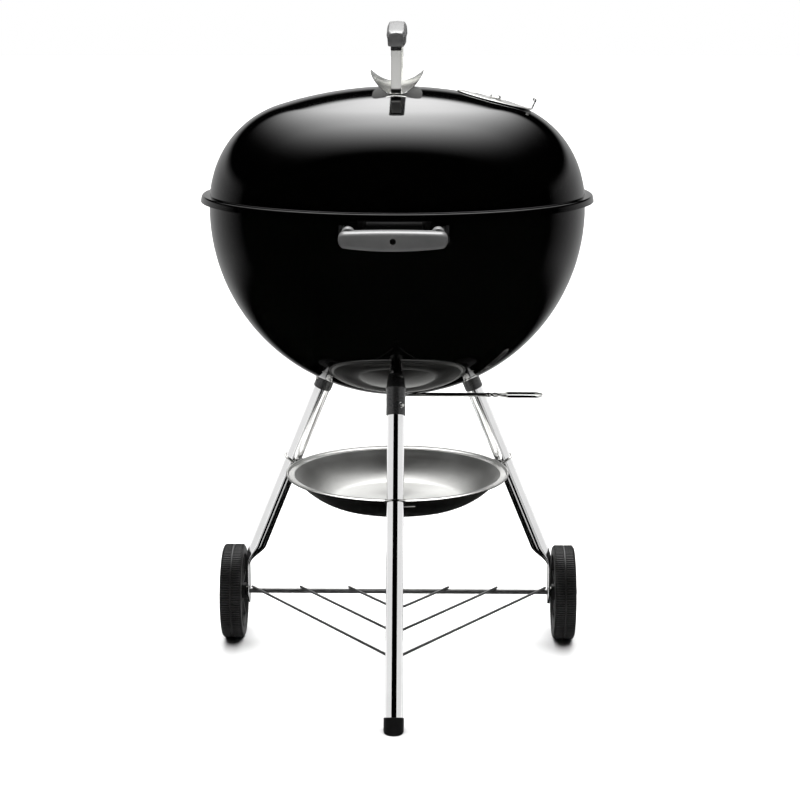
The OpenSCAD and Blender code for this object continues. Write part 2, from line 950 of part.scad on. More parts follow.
module right_wheel() wheel(1);
module left_wheel() wheel(-1);

// Pressed onto the axle's end, clear of the wheel
module hub_cap(side) {
    color("#bfc1c3")
        at_wheel(side)
            translate([0, 0, wheel_w + gap])
                difference() {
                    union() {
                        cylinder(r = 11, h = 3);
                        translate([0, 0, 3 - 14.5])
                            intersection() {
                                sphere(r = 17, $fn = 64);
                                translate([0, 0, 14.4]) cylinder(r = 9, h = 10);
                            }
                    }
                    translate([0, 0, -1]) cylinder(r = axle_r + 0.02, h = 1 + cap_bore);
                }
}

module right_hub_cap() hub_cap(1);
module left_hub_cap() hub_cap(-1);

rack_outer_x = 237;
rack_apex_y = 377;              // how far forward of the axle the outer wires would meet
rack_bend_r = 15;
rack_behind = 4;
rack_count = 3;

function rack_hook_z() = axle_z + axle_r + rack_wire_r + seat - 2 * rack_wire_r
    + (rack_apex_y + 6) * sin(rack_slope);

// One wire, drawn flat: two long sides and a nose towards -Y.
// The nose is a little thicker than the sides, so that it closes both corners.
module rack_wire(half_w, apex) {
    half = atan2(half_w, apex);
    nose_x = rack_bend_r * cos(half);
    nose_y = -apex + nose_x / tan(half);
    nose_end = nose_x + 1.2 * rack_wire_r;
    for (side = [-1, 1])
        rod([side * nose_x, nose_y, 0],
            [side * (half_w + rack_behind * sin(half)), rack_behind * cos(half), 0], rack_wire_r);
    rod([-nose_end, nose_y, 0], [nose_end, nose_y, 0], rack_wire_r + 0.08);
}

// The frame of the rack: the wires lie on the axle and rise a little towards the front leg
module at_rack() {
    translate([0, axle_y, axle_z + axle_r + rack_wire_r + seat])
        rotate([-rack_slope, 0, 0])
            children();
}

// One of the nested wires, counted from the inside
module nested_wire(i) {
    color("#77797b")
        at_rack()
            rack_wire(rack_outer_x * i / rack_count, rack_apex_y * i / rack_count);
}

module rack_inner_wire() nested_wire(1);
module rack_middle_wire() nested_wire(2);
module rack_outer_wire() nested_wire(3);

// A straight wire under the nested ones, which hooks into the front leg
module rack_centre_wire() {
    low = -2 * rack_wire_r - seat / 2;
    color("#77797b")
        at_rack()
            rod([0, -rack_apex_y - 3, low], [0, -14, low], rack_wire_r);
}

// ---------- inside the kettle ----------

module cooking_grate() {
    color("#9fa1a3") {
        translate([0, 0, cook_z])
            rotate_extrude($fn = 144)
                translate([cook_r - 3, 0]) circle(r = 3, $fn = 24);
        for (i = [0 : cook_rods - 1]) {
            x = (i - (cook_rods - 1) / 2) * cook_pitch;
            half = sqrt(pow(cook_r - 3, 2) - x * x);
            rod([x, -half, cook_z], [x, half, cook_z], rod_r);
        }
        for (y = [-cook_cross_y, cook_cross_y]) {
            half = sqrt(pow(cook_r - 3, 2) - y * y);
            rod([-half, y, cook_z - 1.8 * rod_r], [half, y, cook_z - 1.8 * rod_r], rod_r);
        }
        for (side = [-1, 1])
            translate([side * (cook_rods - 3) / 2 * cook_pitch, 0, cook_z])
                grate_loop();
    }
}

// A lifting loop that stands up from the grate
module grate_loop() {
    half = 42;
    h = 24;
    loop_r = 2.6;
    for (side = [-1, 1]) {
        rod([0, side * half, -1], [0, side * half, h], loop_r);
        joint([0, side * half, h], loop_r);
    }
    rod([0, -half, h], [0, half, h], loop_r);
}

// Three brackets welded inside the bowl, under the cooking grate's ring
module cooking_grate_brackets() {
    color("#141416")
        for (az = [90, 210, 330])
            rotate([0, 0, az])
                difference() {
                    translate([cook_r - 18, -12, cook_z - 3 - gap - tab_t])
                        cube([40, 24, tab_t]);
                    difference() {
                        translate([0, 0, equator_z]) cube(4 * bowl_r, center = true);
                        translate([0, 0, equator_z]) sphere(r = bowl_in_r, $fn = 180);
                    }
                }
}

module charcoal_grate() {
    color("#86888a") {
        for (i = [0 : coal_rods - 1]) {
            x = (i - (coal_rods - 1) / 2) * coal_pitch;
            half = sqrt(coal_r * coal_r - x * x);
            rod([x, -half, coal_z], [x, half, coal_z], 3);
        }
        for (y = [-95, 95]) {
            half = sqrt(pow(coal_r - 6, 2) - y * y);
            rod([-half, y, coal_z - 5.6], [half, y, coal_z - 5.6], 3);
        }
    }
}

module charcoal_grate_tabs() {
    tab_z = coal_z - 3 - gap - tab_t;
    color("#141416")
        for (az = [60, 120, 240, 300])
            rotate([0, 0, az])
                difference() {
                    translate([coal_r - 20, -10, tab_z]) cube([60, 20, tab_t]);
                    difference() {
                        translate([0, 0, equator_z]) cube(4 * bowl_r, center = true);
                        translate([0, 0, equator_z]) sphere(r = bowl_in_r, $fn = 180);
                    }
                }
}

// ---------- vent sweeper ----------

module vent_blades() {
    color("#8a8c8e")
        difference() {
            intersection() {
                translate([0, 0, equator_z])
                    difference() {
                        sphere(r = blade_r, $fn = 256);
                        sphere(r = blade_r - blade_t, $fn = 256);
                    }
                translate([0, 0, equator_z - bowl_r])
                    linear_extrude(40)
                        union() {
                            circle(r = 20);
                            for (i = [0 : 2])
                                rotate([0, 0, blade_az + 120 * i])
                                    intersection() {
                                        wedge(-blade_half, blade_half, 200);
                                        circle(r = blade_out, $fn = 144);
                                    }
                        }
            }
            translate([0, 0, equator_z - bowl_r]) cylinder(r = shaft_r - 0.5, h = 40);
        }
}

module vent_shaft() {
    blade_top = equator_z - blade_r + blade_t;
    color("#9a9c9e") {
        translate([0, 0, lever_z - 9])
            cylinder(r = shaft_r - 1, h = blade_top + 6 - lever_z + 9);
        translate([0, 0, lever_z + lever_r + 0.4])
            cylinder(r = shaft_r, h = blade_top - lever_z - lever_r - 2);
        translate([0, 0, blade_top + gap]) cylinder(r = 9, h = 5, $fn = 6);
    }
}

// The rod from the shaft, bent double into a flat loop at its outer end
module vent_lever() {
    loop_in = lever_end - loop_len;
    turn_r = loop_half_w;
    color("#b4b6b8")
        difference() {
            union() {
                translate([0, 0, lever_z]) {
                    cylinder(r = 10, h = 2 * lever_r, center = true);
                    rod([8, 0, 0], [loop_in - 12, 0, 0], lever_r);
                    for (side = [-1, 1]) {
                        rod([loop_in - 12, 0, 0], [loop_in + 6, side * turn_r, 0], loop_wire_r);
                        joint([loop_in + 6, side * turn_r, 0], loop_wire_r);
                        rod([loop_in + 6, side * turn_r, 0],
                            [lever_end - turn_r - loop_wire_r, side * turn_r, 0], loop_wire_r);
                    }
                    joint([loop_in - 12, 0, 0], lever_r);
                    translate([lever_end - turn_r - loop_wire_r, 0, 0])
                        rotate([0, 0, -90])
                            rotate_extrude(angle = 180, $fn = 64)
                                translate([turn_r, 0]) circle(r = loop_wire_r, $fn = 24);
                }
            }
            translate([0, 0, lever_z - 20]) cylinder(r = shaft_r - 0.95, h = 40);
        }
}

module vent_lever_nut() {
    color("#b4b6b8")
        translate([0, 0, lever_z - lever_r - 4.6])
            difference() {
                cylinder(r = 7.5, h = 4.5, $fn = 6);
                translate([0, 0, -1]) cylinder(r = shaft_r - 0.95, h = 8);
            }
}

lid_shell();
lid_handle_strap();
lid_handle_grip();
lid_handle_collars();
lid_heat_shield();
lid_handle_bolts();
lid_handle_nuts();
lid_handle_screws();
lid_damper();
lid_damper_rivet();
bowl_shell();
front_handle_bracket();
front_handle_grip();
front_handle_screw();
rear_handle_bracket();
rear_handle_grip();
rear_handle_screw();
front_leg_socket();
right_leg_socket();
left_leg_socket();
front_leg();
right_leg();
left_leg();
front_foot_cap();
front_snap_button();
right_snap_button();
left_snap_button();
front_button_spring();
right_button_spring();
left_button_spring();
ash_pan();
front_pan_clip();
right_pan_clip();
left_pan_clip();
axle();
axle_washers();
right_wheel();
left_wheel();
right_hub_cap();
left_hub_cap();
rack_inner_wire();
rack_middle_wire();
rack_outer_wire();
rack_centre_wire();
cooking_grate();
cooking_grate_brackets();
charcoal_grate();
charcoal_grate_tabs();
vent_blades();
vent_shaft();
vent_lever();
vent_lever_nut();
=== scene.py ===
"""The looks of a kettle charcoal grill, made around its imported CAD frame.

Shapes are drawn in millimetres, and new_piece() turns them into metres, the frame's unit.
Z is up, the front leg is at -Y, the wheels are at the rear and the vent lever points to +X.
"""

from math import acos, asin, atan2, cos, hypot, pi, radians, sin, sqrt, tan

import bmesh
import bpy
from mathutils import Matrix, Vector


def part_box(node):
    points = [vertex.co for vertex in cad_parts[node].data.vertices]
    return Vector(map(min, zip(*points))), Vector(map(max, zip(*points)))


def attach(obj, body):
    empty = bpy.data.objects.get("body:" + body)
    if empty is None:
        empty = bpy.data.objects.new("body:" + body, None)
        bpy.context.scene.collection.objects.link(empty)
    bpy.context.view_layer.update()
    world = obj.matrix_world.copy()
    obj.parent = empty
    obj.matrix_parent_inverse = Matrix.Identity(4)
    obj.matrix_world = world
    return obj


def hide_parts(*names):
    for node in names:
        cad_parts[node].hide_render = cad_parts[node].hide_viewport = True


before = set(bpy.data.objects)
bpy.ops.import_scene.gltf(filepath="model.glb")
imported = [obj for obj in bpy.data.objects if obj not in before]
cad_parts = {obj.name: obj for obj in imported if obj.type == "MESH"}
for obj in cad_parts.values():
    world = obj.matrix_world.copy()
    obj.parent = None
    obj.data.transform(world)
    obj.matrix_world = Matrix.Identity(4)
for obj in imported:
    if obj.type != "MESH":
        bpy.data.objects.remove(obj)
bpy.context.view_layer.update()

MM = 0.001


def node_box(node):
    """The lowest and highest corner of a CAD node, in millimetres."""
    low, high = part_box(node)
    return low / MM, high / MM


# ---------- sizes ----------

SHEET = 1.6                     # enamelled steel
LID_LOW, LID_HIGH = node_box("lid_shell")
CROWN_R, CROWN_ANGLE = 590.0, radians(17.5)
SHOULDER_R, SHOULDER_ANGLE = 148.0, radians(58)
SIDE_R = 270.0
SKIRT_H, SKIRT_FLARE = 10.0, 2.0
FLANGE_Z = LID_LOW.z + SKIRT_H
CROWN_Z = LID_HIGH.z - CROWN_R
BOWL_LOW, BOWL_HIGH = node_box("bowl_shell")
BOWL_R = 282.0
EQUATOR_Z = BOWL_LOW.z + BOWL_R
BEAD_R = 4.4
DAMPER_X = 145.5
DAMPER_TILT = asin(DAMPER_X / CROWN_R)
SPLAY = radians(22.65)
SOCKET_AXIS_R, SOCKET_Z = 137.6, 423.7
REAR_SOCKET_AZ, REAR_LEG_AZ = radians(29.5), radians(15)
LEG_R, LEG_WALL, LEG_TOP = 12.7, 1.2, 36.0
AXLE_LOW, AXLE_HIGH = node_box("axle")
AXLE = (AXLE_LOW + AXLE_HIGH) / 2
PAN_LOW, PAN_HIGH = node_box("ash_pan")
PAN_Z = PAN_HIGH.z - 2.0        # middle of the rim's bead


# ---------- meshes ----------

def lathe(outline, steps=160):
    """Turns (radius, height) points round Z. An end on the axis is one vertex; other ends join up."""
    verts, rings, faces = [], [], []
    for r, z in outline:
        count = 1 if r < 1e-6 else steps
        rings.append(range(len(verts), len(verts) + count))
        verts += [Vector((r * cos(2 * pi * i / steps), r * sin(2 * pi * i / steps), z)) for i in range(count)]
    pairs = list(zip(rings, rings[1:]))
    if len(rings[0]) > 1 and len(rings[-1]) > 1:
        pairs.append((rings[-1], rings[0]))
    for a, b in pairs:
        for i in range(steps):
            j = (i + 1) % steps
            ring = [a[i % len(a)], b[i % len(b)], b[j % len(b)], a[j % len(a)]]
            faces.append(tuple(dict.fromkeys(ring)))
    return verts, [f for f in faces if len(f) > 2]


def loft(rings, closed=False):
    """Joins rings of the same number of points. Open lofts get a cap at each end."""
    count = len(rings[0])
    verts = [Vector(p) for ring in rings for p in ring]
    faces = []
    pairs = [(k, (k + 1) % len(rings)) for k in range(len(rings) - (0 if closed else 1))]
    for a, b in pairs:
        for i in range(count):
            j = (i + 1) % count
            faces.append((a * count + i, a * count + j, b * count + j, b * count + i))
    if not closed:
        last = (len(rings) - 1) * count
        faces += [tuple(reversed(range(count))), tuple(range(last, last + count))]
    return verts, faces


def frames_along(points):
    """A tangent and two normals at each point, turning as little as possible along the line."""
    tangents = []
    for i in range(len(points)):
        tangents.append((points[min(i + 1, len(points) - 1)] - points[max(i - 1, 0)]).normalized())
    side = tangents[0].orthogonal().normalized()
    frames = []
    for t in tangents:
        side = (side - t * side.dot(t)).normalized()
        frames.append((t, side, t.cross(side)))
    return frames


def tube(points, radius, sides=20):
    """A round bar along a line of points. radius may be a list with a value for each point."""
    points = [Vector(p) for p in points]
    radii = radius if isinstance(radius, list) else [radius] * len(points)
    rings = []
    for p, r, (_, u, v) in zip(points, radii, frames_along(points)):
        rings.append([p + r * (cos(2 * pi * i / sides) * u + sin(2 * pi * i / sides) * v) for i in range(sides)])
    return loft(rings)


def rod(a, b, radius, sides=20, nose=0.25):
    """A straight bar from a to b whose ends are rounded over a length of nose times its radius."""
    a, b = Vector(a), Vector(b)
    t = (b - a).normalized() * radius * nose
    points = [a, a + 0.3 * t, a + t, b - t, b - 0.3 * t, b]
    shape = [0.7, 0.92, 1, 1, 0.92, 0.7]
    return tube(points, [radius * k for k in shape], sides)


def bent(points, radius, steps=8):
    """A line whose inner corners become arcs of that radius, or smaller where a leg is short."""
    points = [Vector(p) for p in points]
    line = [points[0]]
    for a, b, c in zip(points, points[1:], points[2:]):
        u, v = (a - b), (c - b)
        half = u.angle(v) / 2
        if half > radians(89.5):
            line.append(b)
            continue
        reach = min(radius / tan(half), 0.48 * min(u.length, v.length))
        centre = b + (u.normalized() + v.normalized()).normalized() * reach / cos(half)
        start, end = b + u.normalized() * reach - centre, b + v.normalized() * reach - centre
        total = start.angle(end)
        for i in range(steps + 1):
            k = i / steps
            line.append(centre + (sin((1 - k) * total) * start + sin(k * total) * end) / sin(total))
    line.append(points[-1])
    return line


def flat_bent(points, radius, steps=6):
    """bent() for two-dimensional points."""
    return [(p.x, p.y) for p in bent([(x, y, 0) for x, y in points], radius, steps)]


def arc(centre, r, start, end, steps):
    """Points of a flat arc, from one angle to another."""
    cx, cy = centre
    angles = [start + (end - start) * i / steps for i in range(steps + 1)]
    return [(cx + r * cos(a), cy + r * sin(a)) for a in angles]


def round_rect(w, h, r, steps=5):
    """Outline of a rectangle with round corners, round the origin."""
    corners = [(w / 2 - r, h / 2 - r, 0), (r - w / 2, h / 2 - r, 1), (r - w / 2, r - h / 2, 2), (w / 2 - r, r - h / 2, 3)]
    return [p for x, y, q in corners for p in arc((x, y), r, q * pi / 2, (q + 1) * pi / 2, steps)]


def prism(outline, z0, z1):
    """A flat outline pulled up from z0 to z1."""
    return loft([[(x, y, z) for x, y in outline] for z in (z0, z1)])


def sheet(grid, thickness, normals):
    """A closed plate over a grid of points, with its thickness on the far side of the normals."""
    rows, cols = len(grid), len(grid[0])
    back = [[p - n * thickness for p, n in zip(*pair)] for pair in zip(grid, normals)]
    verts = [p for row in grid for p in row] + [p for row in back for p in row]
    size = rows * cols
    faces = []
    for i in range(rows - 1):
        for j in range(cols - 1):
            a = i * cols + j
            faces.append((a, a + 1, a + cols + 1, a + cols))
            faces.append((size + a, size + a + cols, size + a + cols + 1, size + a + 1))
    edge = [(0, j) for j in range(cols)] + [(i, cols - 1) for i in range(1, rows)]
    edge += [(rows - 1, j) for j in range(cols - 2, -1, -1)] + [(i, 0) for i in range(rows - 2, 0, -1)]
    for (i, j), (m, n) in zip(edge, edge[1:] + edge[:1]):
        a, b = i * cols + j, m * cols + n
        faces.append((b, a, size + a, size + b))
    return verts, faces


def moved(shape, matrix):
    return [matrix @ Vector(v) for v in shape[0]], shape[1]


def turn(angle, axis):
    return Matrix.Rotation(angle, 4, axis)


def shift(x, y, z):
    return Matrix.Translation((x, y, z))


def mesh_of(name, shapes, sharp=32):
    """One mesh from several closed shapes, with smooth faces and sharp edges where they meet at an angle."""
    verts, faces = [], []
    for shape_verts, shape_faces in shapes:
        faces += [tuple(len(verts) + i for i in face) for face in shape_faces]
        verts += [Vector(v) * MM for v in shape_verts]
    mesh = bpy.data.meshes.new(name)
    mesh.from_pydata(verts, [], faces)
    smooth(mesh, sharp)
    return mesh


def smooth(mesh, sharp):
    work = bmesh.new()
    work.from_mesh(mesh)
    bmesh.ops.remove_doubles(work, verts=work.verts, dist=1e-6)
    bmesh.ops.recalc_face_normals(work, faces=work.faces)
    for face in work.faces:
        face.smooth = True
    for edge in work.edges:
        edge.smooth = len(edge.link_faces) != 2 or edge.calc_face_angle(0) < radians(sharp)
    work.to_mesh(mesh)
    work.free()


def new_object(name, shapes, sharp=32):
    piece = bpy.data.objects.new(name, mesh_of(name, shapes, sharp))
    bpy.context.scene.collection.objects.link(piece)
    return piece


def bake_modifiers(piece, sharp):
    """Replaces a piece's mesh by what its modifiers make of it."""
    bpy.context.view_layer.update()
    result = bpy.data.meshes.new_from_object(piece.evaluated_get(bpy.context.evaluated_depsgraph_get()))
    piece.modifiers.clear()
    piece.data = result
    smooth(result, sharp)


def cut(piece, shapes, sharp=32, crossing=False):
    """Cuts closed shapes out of a piece. crossing says that the piece's own shapes overlap."""
    cutter = new_object("cutter", shapes)
    step = piece.modifiers.new("cut", "BOOLEAN")
    step.operation, step.solver, step.object, step.use_self = "DIFFERENCE", "EXACT", cutter, crossing
    bake_modifiers(piece, sharp)
    bpy.data.objects.remove(cutter)


def soften(piece, width, segments=2, limit=35, sharp=32):
    """Rounds the piece's sharp edges."""
    step = piece.modifiers.new("soften", "BEVEL")
    step.width, step.segments, step.limit_method, step.angle_limit = width * MM, segments, "ANGLE", radians(limit)
    bake_modifiers(piece, sharp)


def new_piece(name, shapes, look, body, nodes, place=None, sharp=32, cuts=None, soft=0.0):
    """A finished piece: its mesh, its cuts and rounded edges, its material, and its place in the frame."""
    piece = new_object(name, shapes, sharp)
    if cuts:
        cut(piece, cuts, sharp, len(shapes) > 1)
    if soft:
        soften(piece, soft, sharp=sharp)
    if place is not None:
        piece.matrix_world = metres(place)
    finish_slot, made = look
    piece.data.materials.clear()
    piece.data.materials.append(made)
    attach(piece, body)
    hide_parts(*nodes)
    return piece


def metres(matrix):
    """The same placing with its shift in metres."""
    scaled = matrix.copy()
    scaled.translation = matrix.translation * MM
    return scaled


# ---------- materials ----------

class Graph:
    """Short ways to write shader nodes."""

    def __init__(self, tree):
        self.tree = tree
        tree.nodes.clear()

    def add(self, kind, inputs=(), **settings):
        node = self.tree.nodes.new(kind)
        for key, value in settings.items():
            setattr(node, key, value)
        for key, value in dict(inputs).items():
            self.set(node.inputs[key], value)
        return node

    def set(self, socket, value):
        if isinstance(value, bpy.types.NodeSocket):
            self.tree.links.new(value, socket)
        else:
            socket.default_value = value

    def math(self, operation, a, b=0.0, c=0.0):
        node = self.add("ShaderNodeMath", {0: a, 1: b, 2: c}, operation=operation)
        return node.outputs[0]

    def product(self, parts):
        result = parts[0]
        for part in parts[1:]:
            result = self.math("MULTIPLY", result, part)
        return result

    def ramp(self, value, low, high, out_low=0.0, out_high=1.0, kind="SMOOTHSTEP"):
        """value from low to high becomes out_low to out_high."""
        node = self.add("ShaderNodeMapRange", {0: value, 1: low, 2: high, 3: out_low, 4: out_high},
                        interpolation_type=kind)
        return node.outputs[0]

    def noise(self, vector, scale, detail=3.0, rough=0.5):
        node = self.add("ShaderNodeTexNoise", {"Vector": vector, "Scale": scale, "Detail": detail,
                                               "Roughness": rough})
        return node.outputs["Fac"]

    def mix(self, factor, a, b):
        node = self.add("ShaderNodeMix", {0: factor}, data_type="RGBA")
        self.set(node.inputs[6], (*a, 1) if isinstance(a, tuple) else a)
        self.set(node.inputs[7], (*b, 1) if isinstance(b, tuple) else b)
        return node.outputs[2]


def grey(level):
    return (level, level, level)


def stretched(graph, along):
    """Object coordinates, squeezed so that a noise becomes fine lines along one direction."""
    place = graph.add("ShaderNodeTexCoord").outputs["Object"]
    if along == "rings":
        x, y, z = graph.add("ShaderNodeSeparateXYZ", {0: place}).outputs
        away = graph.math("SQRT", graph.math("ADD", graph.math("MULTIPLY", x, x), graph.math("MULTIPLY", y, y)))
        return graph.add("ShaderNodeCombineXYZ", {0: away, 1: graph.math("MULTIPLY", z, 0.2)}).outputs[0]
    scale = {"even": (1, 1, 1), "x": (0.02, 1, 1), "y": (1, 0.02, 1), "z": (1, 1, 0.02)}[along]
    return graph.add("ShaderNodeMapping", {"Vector": place, "Scale": scale}).outputs[0]


def surface(name, slot, light, dark, rough, metallic=0.0, along="even", grain=900.0, grain_depth=0.00001,
            bump=0.15, spread=0.05, patch=14.0, anisotropy=0.0, specular=0.5, coat=0.0, worn=None):
    """A finish: slow patches between two colours, fine grain in roughness and bump, and worn edges."""
    made = bpy.data.materials.new(name)
    made.use_nodes = True
    graph = Graph(made.node_tree)
    place = graph.add("ShaderNodeTexCoord").outputs["Object"]
    slow = graph.noise(place, patch, 4.0, 0.6)
    fine = graph.noise(stretched(graph, along), grain, 3.0)
    colour = graph.mix(graph.ramp(slow, 0.35, 0.65), dark, light)
    if worn:
        edges = graph.add("ShaderNodeNewGeometry").outputs["Pointiness"]
        scuffed = graph.math("MULTIPLY", graph.ramp(edges, 0.52, 0.6), graph.ramp(fine, 0.3, 0.7))
        colour = graph.mix(scuffed, colour, worn)
    mixed = graph.math("ADD", graph.math("MULTIPLY", slow, 0.5), graph.math("MULTIPLY", fine, 0.5))
    shader = graph.add("ShaderNodeBsdfPrincipled", {
        "Base Color": colour, "Metallic": metallic,
        "Roughness": graph.ramp(mixed, 0.3, 0.7, rough - spread, rough + spread),
        "Specular IOR Level": specular, "Anisotropic": anisotropy, "Coat Weight": coat, "Coat Roughness": 0.04,
        "Normal": graph.add("ShaderNodeBump", {"Height": fine, "Strength": bump, "Distance": grain_depth}).outputs[0],
    })
    if anisotropy:
        tangent = graph.add("ShaderNodeTangent", direction_type="RADIAL", axis="Z")
        graph.set(shader.inputs["Tangent"], tangent.outputs[0])
    out = graph.add("ShaderNodeOutputMaterial")
    graph.set(out.inputs["Surface"], shader.outputs[0])
    return slot, made


ENAMEL = surface("black_enamel", "enamel", grey(0.0009), grey(0.0006), 0.06, grain=260, bump=0.04, spread=0.02,
                 grain_depth=0.00002, patch=5)
SOCKET_ENAMEL = surface("socket_enamel", "enamel", grey(0.02), grey(0.014), 0.28, grain=700, bump=0.1)
CHROME = surface("polished_tube", "plated_steel", grey(0.86), grey(0.8), 0.09, 1.0, "z", grain=900, bump=0.05,
                 spread=0.03, patch=9)
BRUSHED = surface("brushed_steel", "plated_steel", (0.72, 0.72, 0.7), (0.62, 0.62, 0.6), 0.26, 1.0, "x",
                  grain=1500, bump=0.12)
PLATED = surface("zinc_plate", "plated_steel", (0.6, 0.6, 0.58), (0.48, 0.48, 0.46), 0.24, 1.0, grain=500, patch=40)
ALUMINIUM = surface("satin_disc", "satin_aluminium", (0.82, 0.82, 0.8), (0.76, 0.76, 0.74), 0.3, 1.0, "even",
                    grain=700, bump=0.08, spread=0.04)
SPUN = surface("spun_aluminium", "satin_aluminium", (0.4, 0.4, 0.39), (0.35, 0.35, 0.34), 0.36, 1.0, "rings",
               grain=700, bump=0.1, anisotropy=0.75)
DARK_WIRE = surface("dark_wire", "dark_wire", grey(0.2), grey(0.14), 0.38, 0.7, grain=600, patch=60)
GRIP = surface("grip_plastic", "grip_plastic", grey(0.08), grey(0.065), 0.48, grain=1400, bump=0.35,
               grain_depth=0.00004, worn=grey(0.3))
BLACK = surface("black_plastic", "black_plastic", grey(0.016), grey(0.01), 0.42, grain=1300, bump=0.3,
                grain_depth=0.00004, worn=grey(0.05))
WHEEL = surface("wheel_plastic", "wheel_plastic", grey(0.022), grey(0.012), 0.42, grain=1100, bump=0.3,
                grain_depth=0.00005, patch=30, worn=grey(0.09))
GRATE = surface("plated_grate", "cast_grate", grey(0.5), grey(0.34), 0.34, 1.0, grain=500, patch=30)
CAST = surface("charcoal_steel", "cast_grate", grey(0.24), grey(0.14), 0.5, 0.9, grain=400, patch=30)


# ---------- lid ----------

def lid_side(depth):
    """The lid's curve at a depth under its outer face, from the flange up to the pole."""
    shoulder_x = (CROWN_R - SHOULDER_R) * sin(CROWN_ANGLE)
    shoulder_z = CROWN_Z + (CROWN_R - SHOULDER_R) * cos(CROWN_ANGLE)
    side_start = CROWN_ANGLE + SHOULDER_ANGLE
    side_x = shoulder_x - (SIDE_R - SHOULDER_R) * sin(side_start)
    side_z = shoulder_z - (SIDE_R - SHOULDER_R) * cos(side_start)
    side_end = acos((FLANGE_Z - side_z) / SIDE_R)
    top = pi / 2
    return (arc((side_x, side_z), SIDE_R - depth, top - side_end, top - side_start, 10)[:-1]
            + arc((shoulder_x, shoulder_z), SHOULDER_R - depth, top - side_start, top - CROWN_ANGLE, 36)[:-1]
            + arc((0, CROWN_Z), CROWN_R - depth, top - CROWN_ANGLE, top, 36))


def lid_outline():
    """Outer face down to the flange, the skirt, and back up the inner face."""
    outer, inner = lid_side(0), lid_side(SHEET)
    edge = LID_HIGH.x - SKIRT_FLARE
    corner = [outer[1], (outer[0][0], FLANGE_Z), (edge, FLANGE_Z), (LID_HIGH.x, LID_LOW.z)]
    under = [(LID_HIGH.x - SHEET, LID_LOW.z), (edge - SHEET, FLANGE_Z - SHEET), (inner[0][0], FLANGE_Z - SHEET),
             inner[1]]
    skirt = flat_bent(corner + under, 3.4)
    outline = list(reversed(outer[2:])) + skirt + inner[2:]
    outline[0], outline[-1] = (0, outer[-1][1]), (0, inner[-1][1])
    return outline


AT_DAMPER = shift(0, 0, CROWN_Z) @ turn(DAMPER_TILT, "Y")
AIR_HOLE_R, AIR_HOLE_PCR, AIR_HOLES = 9.3, 24.0, 4


def air_holes(low, high):
    """Cutters for the four air holes, in the damper's frame."""
    holes = []
    for i in range(AIR_HOLES):
        a = i * 2 * pi / AIR_HOLES
        hole = lathe([(0, low), (AIR_HOLE_R, low), (AIR_HOLE_R, high), (0, high)], 48)
        holes.append(moved(hole, shift(AIR_HOLE_PCR * cos(a), AIR_HOLE_PCR * sin(a), 0)))
    return holes


def make_lid():
    cutters = [moved(hole, AT_DAMPER) for hole in air_holes(CROWN_R - 20, CROWN_R + 20)]
    new_piece("lid", [lathe(lid_outline(), 288)], ENAMEL, "lid", ["lid_shell"], sharp=40, cuts=cutters)


def make_damper():
    """A dished disc with a rolled edge, four air holes and a turned-up tab."""
    low, thick, r = CROWN_R + 0.3, 1.2, 57.5
    top = pi / 2

    def dish(radius, reach):
        return arc((0, 0), radius, top, top - asin(reach / radius), 24)

    edge = 2.4
    disc = dish(low + thick, r - edge)
    rim = flat_bent([disc[-2], disc[-1], (r - edge + 0.8, disc[-1][1] + 0.7), (r, disc[-1][1] - 0.1),
                     (r - 0.3, disc[-1][1] - 1.25), (r - edge, disc[-1][1] - thick)], 0.6, 3)
    outline = disc[:-2] + rim + list(reversed(dish(low, r - edge)))[1:]
    outline[0], outline[-1] = (0, low + thick), (0, low)
    new_disc = [lathe(outline, 192)]
    tab_w, tab_h, tab_t = 24.0, 15.0, 1.2
    lean = DAMPER_TILT - radians(4)
    foot = Vector((r - 0.8, 0, low + thick - 3.4))
    up, out = Vector((sin(lean), 0, cos(lean))), Vector((cos(lean), 0, -sin(lean)))
    roll_r, roll_turn = 1.9, radians(285)
    line = [foot + up * (tab_h * k / 6) for k in range(7)]
    centre = line[-1] - out * roll_r
    line += [centre + roll_r * (cos(a) * out + sin(a) * up) for a in [roll_turn * k / 14 for k in range(1, 15)]]
    rings = []
    for i, p in enumerate(line):
        t = (line[min(i + 1, len(line) - 1)] - line[max(i - 1, 0)]).normalized()
        n = Vector((t.z, 0, -t.x))
        wide = tab_w * (1.0 if i else 1.12)
        rings.append([p + n * v + Vector((0, u, 0)) for u, v in round_rect(wide, tab_t, 0.5, 3)])
    tab = loft(rings)
    new_piece("lid_damper_disc", new_disc + [tab], ALUMINIUM, "damper", ["lid_damper"], place=AT_DAMPER,
              sharp=38, cuts=air_holes(CROWN_R - 20, CROWN_R + 20))
    head = flat_bent([(0, 5.4), (6.6, 5.0), (8.3, 2.6), (8.4, 0.1), (5.0, 0.1)], 2.2)
    base = CROWN_R + 0.3 + thick
    rivet = [(0, base + 5.4)] + [(x, base + z) for x, z in head[1:]]
    rivet += [(3, base), (3, CROWN_R - SHEET - 0.4), (6, CROWN_R - SHEET - 0.4), (5.4, CROWN_R - SHEET - 2.2),
              (0, CROWN_R - SHEET - 2.4)]
    new_piece("damper_rivet", [lathe(rivet, 64)], ALUMINIUM, "lid", ["lid_damper_rivet"], place=AT_DAMPER, sharp=45)


# ---------- lid handle ----------

FOOT_Y, FOOT_IN_Y = 108.0, 84.0
RISER_Y, RISER_Z = 86.0, 962.0
STRAP_W, STRAP_T = 15.0, 3.0
SHIELD_MID_Z, SHIELD_ARCH_R, SHIELD_DIP_R = 902.5, 330.0, 54.0
SHIELD_HALF_W, SHIELD_TIP_W, SHIELD_END_Y = 39.0, 9.0, 97.0
STRAP_LOW = node_box("lid_handle_strap")[0]
GRIP_HIGH = node_box("lid_handle_grip")[1]


